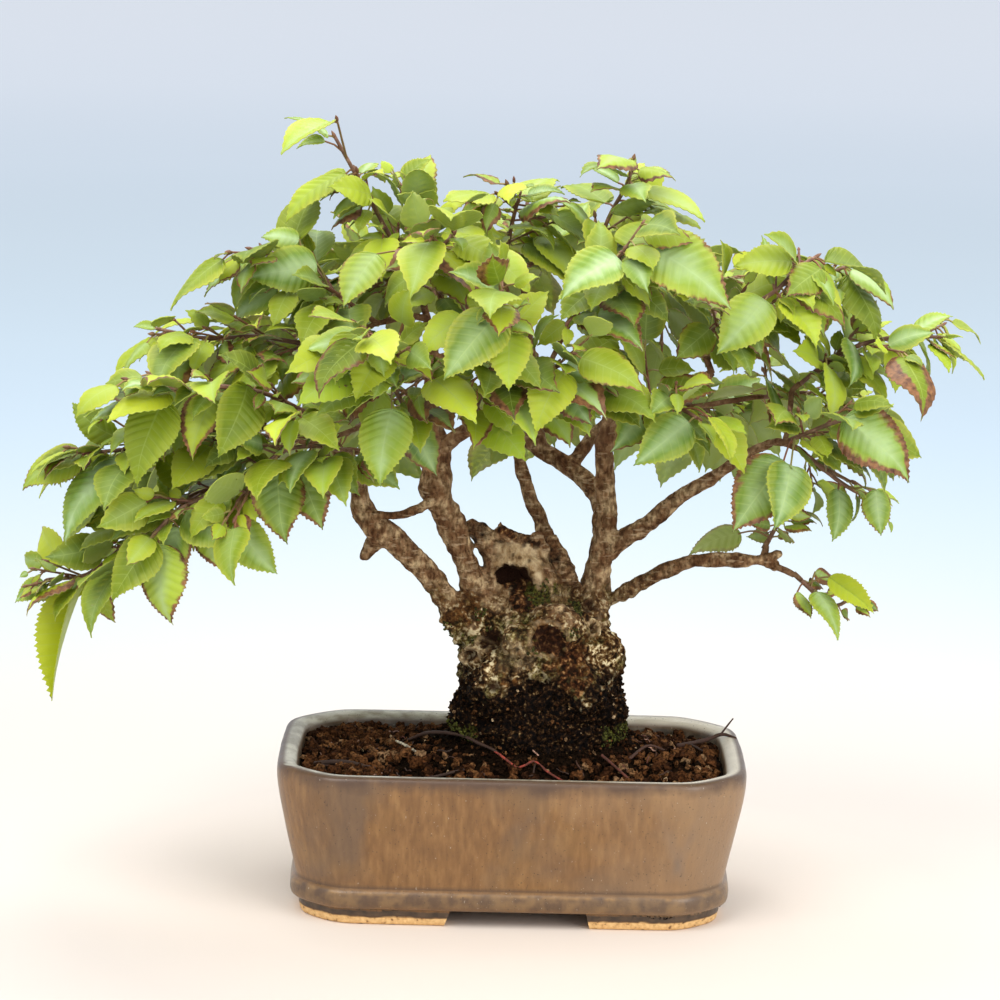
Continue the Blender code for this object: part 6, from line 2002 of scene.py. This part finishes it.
def dress_leaf(leaf, rng, young=0.0, wear_and_painted_highlight=False):
    """Colour and posture of one leaf, by its own random draws; deep in the crown it is darker, as
    painted shade, and leading leaves are lighter, as painted light.
    """
    middle = leaf["base"].lerp(leaf["tip"], 0.5) - CROWN_MIDDLE
    outer = Vector([middle[i] / CROWN_HALF[i] for i in range(3)]).length
    shade = clamp((outer - 0.45) / 0.55)
    lead = 1.0 if leaf["leading"] else 0.0
    # Painted shade and light: the tint falls deep in the crown and rises on outer and leading leaves
    leaf["tint"] = clamp(rng.gauss(0.17 + 0.42 * shade + 0.10 * lead, 0.25))
    # Some leaves get a strong painted sheen, leading ones more often
    waxy = rng.random() < 0.12 + 0.25 * lead
    leaf["waxy"] = rng.uniform(0.4, 0.9) if waxy else 0.35 * rng.random() ** 2
    leaf["age"] = young if young else (rng.uniform(0.35, 0.9) if rng.random() < 0.16 else 0.0)
    leaf["brown"] = rng.uniform(0.1, 0.75) if rng.random() < 0.31 else rng.uniform(-0.35, 0.10)
    if not lead and rng.random() < 0.05 + 0.17 * (1 - shade):
        leaf["brown"] = rng.uniform(0.8, 1.25)
    if wear_and_painted_highlight and not (lead and leaf["tip"].z < leaf["base"].z - 12):
        leaf["brown"] = rng.uniform(0.55, 1.3)
    for label, least, most in POSTURE:
        leaf[label] = rng.uniform(least, most)
    if leaf["brown"] > 0.45:
        leaf["curl"] += 0.35 * rng.random()
        leaf["twist"] *= 1.6
    for tip, share, fold in FOLDED_LEAVES:
        if lead and (leaf["tip"] - Vector(tip)).length < 12:
            leaf["fold"], leaf["curl"], leaf["twist"] = fold, 0.05, 0.3
            leaf["half_width"] *= share


def keep_twig(space, spray, twig):
    """Keeps a short shoot where it finds room, and says if it did."""
    hull = tube_hull(twig, SIDE_TWIG_RADII, SHOOT_CLEAR)
    free = space.clear(spray["name"], *hull, ("twig",))
    if free:
        space.add(spray["name"], "twig", *hull)
        spray["extra"].append((twig, SIDE_TWIG_RADII))
    return free


def extra_twigs(space, spray, rng, count):
    """Short shoots that fill the spray out on all its sides."""
    for share, end in GAP_SHOOTS.get(spray["name"], ()):
        keep_twig(space, spray, [along(spray["route"], share)[0], Vector(end)])
    for _ in range(count):
        place, ahead = along(spray["route"], rng.uniform(0.0, 1.0))
        away = outward(place)
        side = ahead.cross(UP).normalized()
        for _ in range(TWIG_TRIES):
            aim = (ahead * rng.uniform(0.1, 0.9) + side * rng.uniform(-1, 1) * 0.9
                   + away * rng.uniform(-0.5, 0.9) + UP * rng.uniform(-0.3, 0.6))
            if keep_twig(space, spray, [place, place + aim.normalized() * rng.uniform(8, 23)]):
                break


def extra_leaf(place, ahead, hand, rng, size):
    """An added leaf: freer in size and direction than a fill leaf."""
    away = outward(place)
    side = ahead.cross(UP).normalized()
    level = Vector((away.x, away.y, 0))
    aim = (ahead * rng.uniform(0.2, 0.9) + side * hand * rng.uniform(0.3, 1.0)
           + level * rng.uniform(0.0, 0.8) + Vector((0, -0.15, 0))
           - UP * rng.uniform(-0.3, 1.3) + UP * 0.5 * max(0.0, away.z - 0.5)).normalized()
    length = size * (rng.uniform(0.75, 1.3) if rng.random() < 0.75 else rng.uniform(0.4, 0.7))
    base = place + aim * rng.uniform(2.5, 5.5)
    facing = away + UP * rng.uniform(0.1, 0.9) + side * rng.uniform(-0.8, 0.8)
    facing += Vector((0, -0.25, 0))
    root = place - ahead * (0 if hand else ROOT_SINK)
    leaf = make_leaf(root, base, base + aim * length, facing, False)
    leaf["half_width"] *= rng.uniform(0.85, 1.08)
    return leaf


def seen_in_front(place):
    """True where the front view shows a point inside the crown's outline."""
    share = -VIEW_FROM.y / (place.y - VIEW_FROM.y)
    x = VIEW_FROM.x + (place.x - VIEW_FROM.x) * share
    z = VIEW_FROM.z + (place.z - VIEW_FROM.z) * share
    return inside_outline(x, z, CROWN_OUTLINE)


def extra_fits(space, owner, leaf):
    """The leaf clears everything, and the front view shows it inside the crown's outline."""
    if leaf["steepness"] > 0.85 or leaf["doubling"] > 0.45:
        return False
    if owner == "leader" and leaf["root"].z > LEADER_BARE_FROM:
        return False
    middle = leaf["base"].lerp(leaf["tip"], 0.5)
    if not all(seen_in_front(place) for place in (leaf["base"], leaf["tip"], middle)):
        return False
    blade = dict(leaf, root=leaf["root"].lerp(leaf["base"], 0.8))
    return space.clear(owner, *blade_solid(blade, ADDED_BLADE_HALF))


def extra_leaves(space, spray, rng, size):
    """More leaves along every twig of the spray, wherever they find room."""
    kept, bare = [], []
    twigs = spray["extra"] + spray["sides"] + [(spray["route"], spray["radii"])]
    for number, (route, _) in enumerate(twigs):
        count = max(2, round(route_length(route) / LEAF_SPACING))
        last = 0
        for k in range(count + 1):
            place, ahead = along(route, k / count)
            hand = 0 if k == count else (1 if k % 2 else -1)
            for smaller in LEAF_TRIES:
                leaf = extra_leaf(place, ahead, hand, rng, size * smaller * (1 - 0.26 * k / count))
                if extra_fits(space, spray["name"], leaf):
                    space.add(spray["name"], "leaf", *blade_solid(leaf, BLADE_THICKNESS / 2))
                    kept.append(leaf)
                    last = k
                    break
        if number < len(spray["extra"]):
            bare.append(last / count)
    twigs = []
    for (route, radii), share in zip(spray["extra"], bare):
        if share:
            twigs.append(([route[0], along(route, share)[0]], radii))
    spray["extra"] = twigs
    return kept


def bud(place, ahead, rng):
    """A small pointed bud."""
    turn = Vector(ahead).to_track_quat('Z', 'Y').to_matrix()
    size = rng.uniform(0.7, 1.1)
    points, faces = pipe(np.array([[0, 0, -0.4], [0, 0, 0.3], [0, 0, 1.3], [0, 0, 2.3], [0, 0, 3.0]])
                         * size, np.array([0.5, 0.85, 0.8, 0.45, 0.12]) * size, 6)
    return points @ np.array(turn).T + np.array(place), faces


def spray_wood(soup, spray, rng):
    """The main twig, its side twigs and the added shoots, each with a bud at its end."""
    wood = [(spray["route"], spray["radii"])] + spray["sides"] + spray["extra"]
    for i, (route, radii) in enumerate(wood):
        fresh, slim, sides = (0.15, 0.8, 8) if i == 0 else (0.35, 0.58, 6)
        places, sizes = smooth_route([tuple(stop) for stop in route], list(radii), 3.0)
        soup.add(*pipe(places, sizes * slim, sides, 0.18, 2.0), 1, [rng.random() * 0.5, fresh, 0])
        end, ahead = along(route, 1.0)
        soup.add(*bud(end, ahead, rng), 1, [rng.random() * 0.4, 0.3, 0])


def spray_leaves(soup, spray, leaves, rng):
    """Leaves with their petioles, and here and there a bud beside one."""
    young = YOUNG_SPRAYS.get(spray["name"], 0.0)
    for leaf in leaves:
        fresh = young * rng.uniform(0.6, 1.2) if young and rng.random() < 0.6 else 0.0
        dress_leaf(leaf, rng, min(1.0, fresh), spray["name"] in SPARSE_SPRAYS)
        points, faces, values = fine_leaf(leaf, leaf["leading"])
        soup.add(points, faces, 0, values)
        points, faces = petiole(leaf)
        soup.add(points, faces, 1, [rng.random(), rng.uniform(0.6, 1.0), 0])
        if rng.random() < 0.15:
            ahead = (leaf["base"] - leaf["root"]).normalized() + UP * 0.4
            soup.add(*bud(leaf["root"], ahead, rng), 1, [rng.random() * 0.4, 0.2, 0])


def fine_spray(space, spray, number, leaf_material, twig_material):
    """One spray as a piece, with twigs, leaves and buds. Returns its count of leaves."""
    rng = random.Random(SPRAY_SEED + number)
    spray["extra"] = []
    size = SMALL_ADDED_LEAF
    if spray["name"] not in SPARSE_SPRAYS:
        size = ADDED_LEAF
        pitch = 6 if spray["leaders"] else 4
        extra_twigs(space, spray, rng, max(5, round(route_length(spray["route"]) / pitch)))
    leaves = spray["leaves"] + extra_leaves(space, spray, rng, size)
    soup = Soup("leaf_map", "leaf_kind", "leaf_side")
    spray_wood(soup, spray, rng)
    spray_leaves(soup, spray, leaves, rng)
    piece = soup.make("foliage_" + spray["name"], [leaf_material, twig_material])
    finish_piece(piece, "leaf", "spray_" + spray["name"])
    return len(leaves)


# Stage

# Floor tones by the distance from the pot, in tens of metres; the first, brightest stop is painted
# light round the pot
FLOOR_TONES = [(0.012, (0.78, 0.69, 0.61)), (0.02, (0.61, 0.54, 0.49)), (0.05, (0.52, 0.52, 0.495)),
               (0.08, (0.455, 0.515, 0.535)), (0.12, (0.425, 0.505, 0.58)), (0.17, (0.45, 0.53, 0.60)),
               (0.25, (0.56, 0.635, 0.70)), (0.35, (0.67, 0.74, 0.82)),
               (0.52, (0.835, 0.865, 0.93)), (0.8, (0.855, 0.872, 0.925))]
# Lamps: name, place in metres, side of the square, watts, tone
LAMPS = [("key", (-0.9, -1.1, 1.9), 1.5, 34, (1.0, 0.97, 0.93)),
         ("fill", (1.3, -1.3, 1.1), 1.4, 25, (1.0, 0.98, 0.96)),
         ("top", (0.1, 0.7, 2.0), 1.6, 34, (0.97, 0.99, 1.0))]
LAMP_AIM_HEIGHT = 0.17
# The camera's lens and sensor, and how far it looks down and is turned, in degrees
LENS = 126.0
SENSOR = 36.0
CAMERA_DOWN = 10.5
CAMERA_ROLL = 1.3


def studio_floor():
    """A pale floor, warm near the pot with painted light right round it, and bluish far behind it."""
    look = Look("floor", 0.9, Specular_IOR_Level=0.1)
    x, y, _ = look.split()
    away = look.math('SQRT', look.plus(look.times(x, x), look.times(y, y)))
    color = look.ramp(look.times(away, 0.1), *FLOOR_TONES)
    color.node.color_ramp.interpolation = 'B_SPLINE'
    look.finish(color)
    mesh = bpy.data.meshes.new("floor")
    ring = [(30 * math.cos(k * math.pi / 32), 30 * math.sin(k * math.pi / 32), 0) for k in range(64)]
    mesh.from_pydata(ring, [], [tuple(range(64))])
    mesh.materials.append(look.material)
    floor = show("floor", mesh)
    floor.location = SHIFT


def studio_light():
    """A pale surrounding light and three large soft lamps turned to the tree."""
    world = bpy.data.worlds.new("studio")
    bpy.context.scene.world = world
    world.use_nodes = True
    back = world.node_tree.nodes["Background"]
    back.inputs["Color"].default_value = (0.90, 0.95, 1.0, 1.0)
    back.inputs["Strength"].default_value = 0.9
    for name, place, size, power, tone in LAMPS:
        lamp = bpy.data.lights.new(name, 'AREA')
        lamp.shape = 'SQUARE'
        lamp.size = size
        lamp.energy = power
        lamp.color = tone
        item = show(name, lamp)
        item.location = Vector(place) + SHIFT
        aim = Vector((0, 0, LAMP_AIM_HEIGHT)) + SHIFT - item.location
        item.rotation_mode = 'QUATERNION'
        item.rotation_quaternion = aim.to_track_quat('-Z', 'Y')


def front_camera():
    """The camera in front of the pot, a little above it and looking down."""
    lens = bpy.data.cameras.new("camera")
    lens.lens = LENS
    lens.sensor_width = SENSOR
    camera = show("camera", lens)
    camera.location = SHIFT + VIEW_FROM * MM
    turn = (Matrix.Rotation(math.radians(90 - CAMERA_DOWN), 4, 'X')
            @ Matrix.Rotation(math.radians(CAMERA_ROLL), 4, 'Z'))
    camera.rotation_mode = 'QUATERNION'
    camera.rotation_quaternion = turn.to_quaternion()
    bpy.context.scene.camera = camera
    bpy.context.scene.view_settings.view_transform = 'Standard'


def main():
    """Makes the stage, the pot, the soil, the wood and the foliage, in this order."""
    studio_floor()
    studio_light()
    front_camera()
    fine_pot(glaze_look())
    for name in ("drain_net_left", "drain_net_right"):
        node = frame["nodes"][name]
        node.data.materials.clear()
        node.data.materials.append(net_look())
    earth = soil_look()
    soil_bed(earth)
    soil_grains(earth, random.Random(GRAIN_SEED))
    loose_roots(root_look(), random.Random(ROOT_SEED))
    space, sprays, branches = plan_tree()
    bark = bark_look()
    trunk = fine_trunk(bark, BARK_CELL)
    fine_branches(bark, branches)
    trunk_moss(moss_look(), trunk, random.Random(MOSS_SEED))
    earth_crumbs(earth, trunk, random.Random(CRUMB_SEED))
    leaf_material, twig_material = leaf_look(), twig_look()
    total = 0
    for number, spray in enumerate(sprays):
        total += fine_spray(space, spray, number, leaf_material, twig_material)
    print("leaves", total)


main()
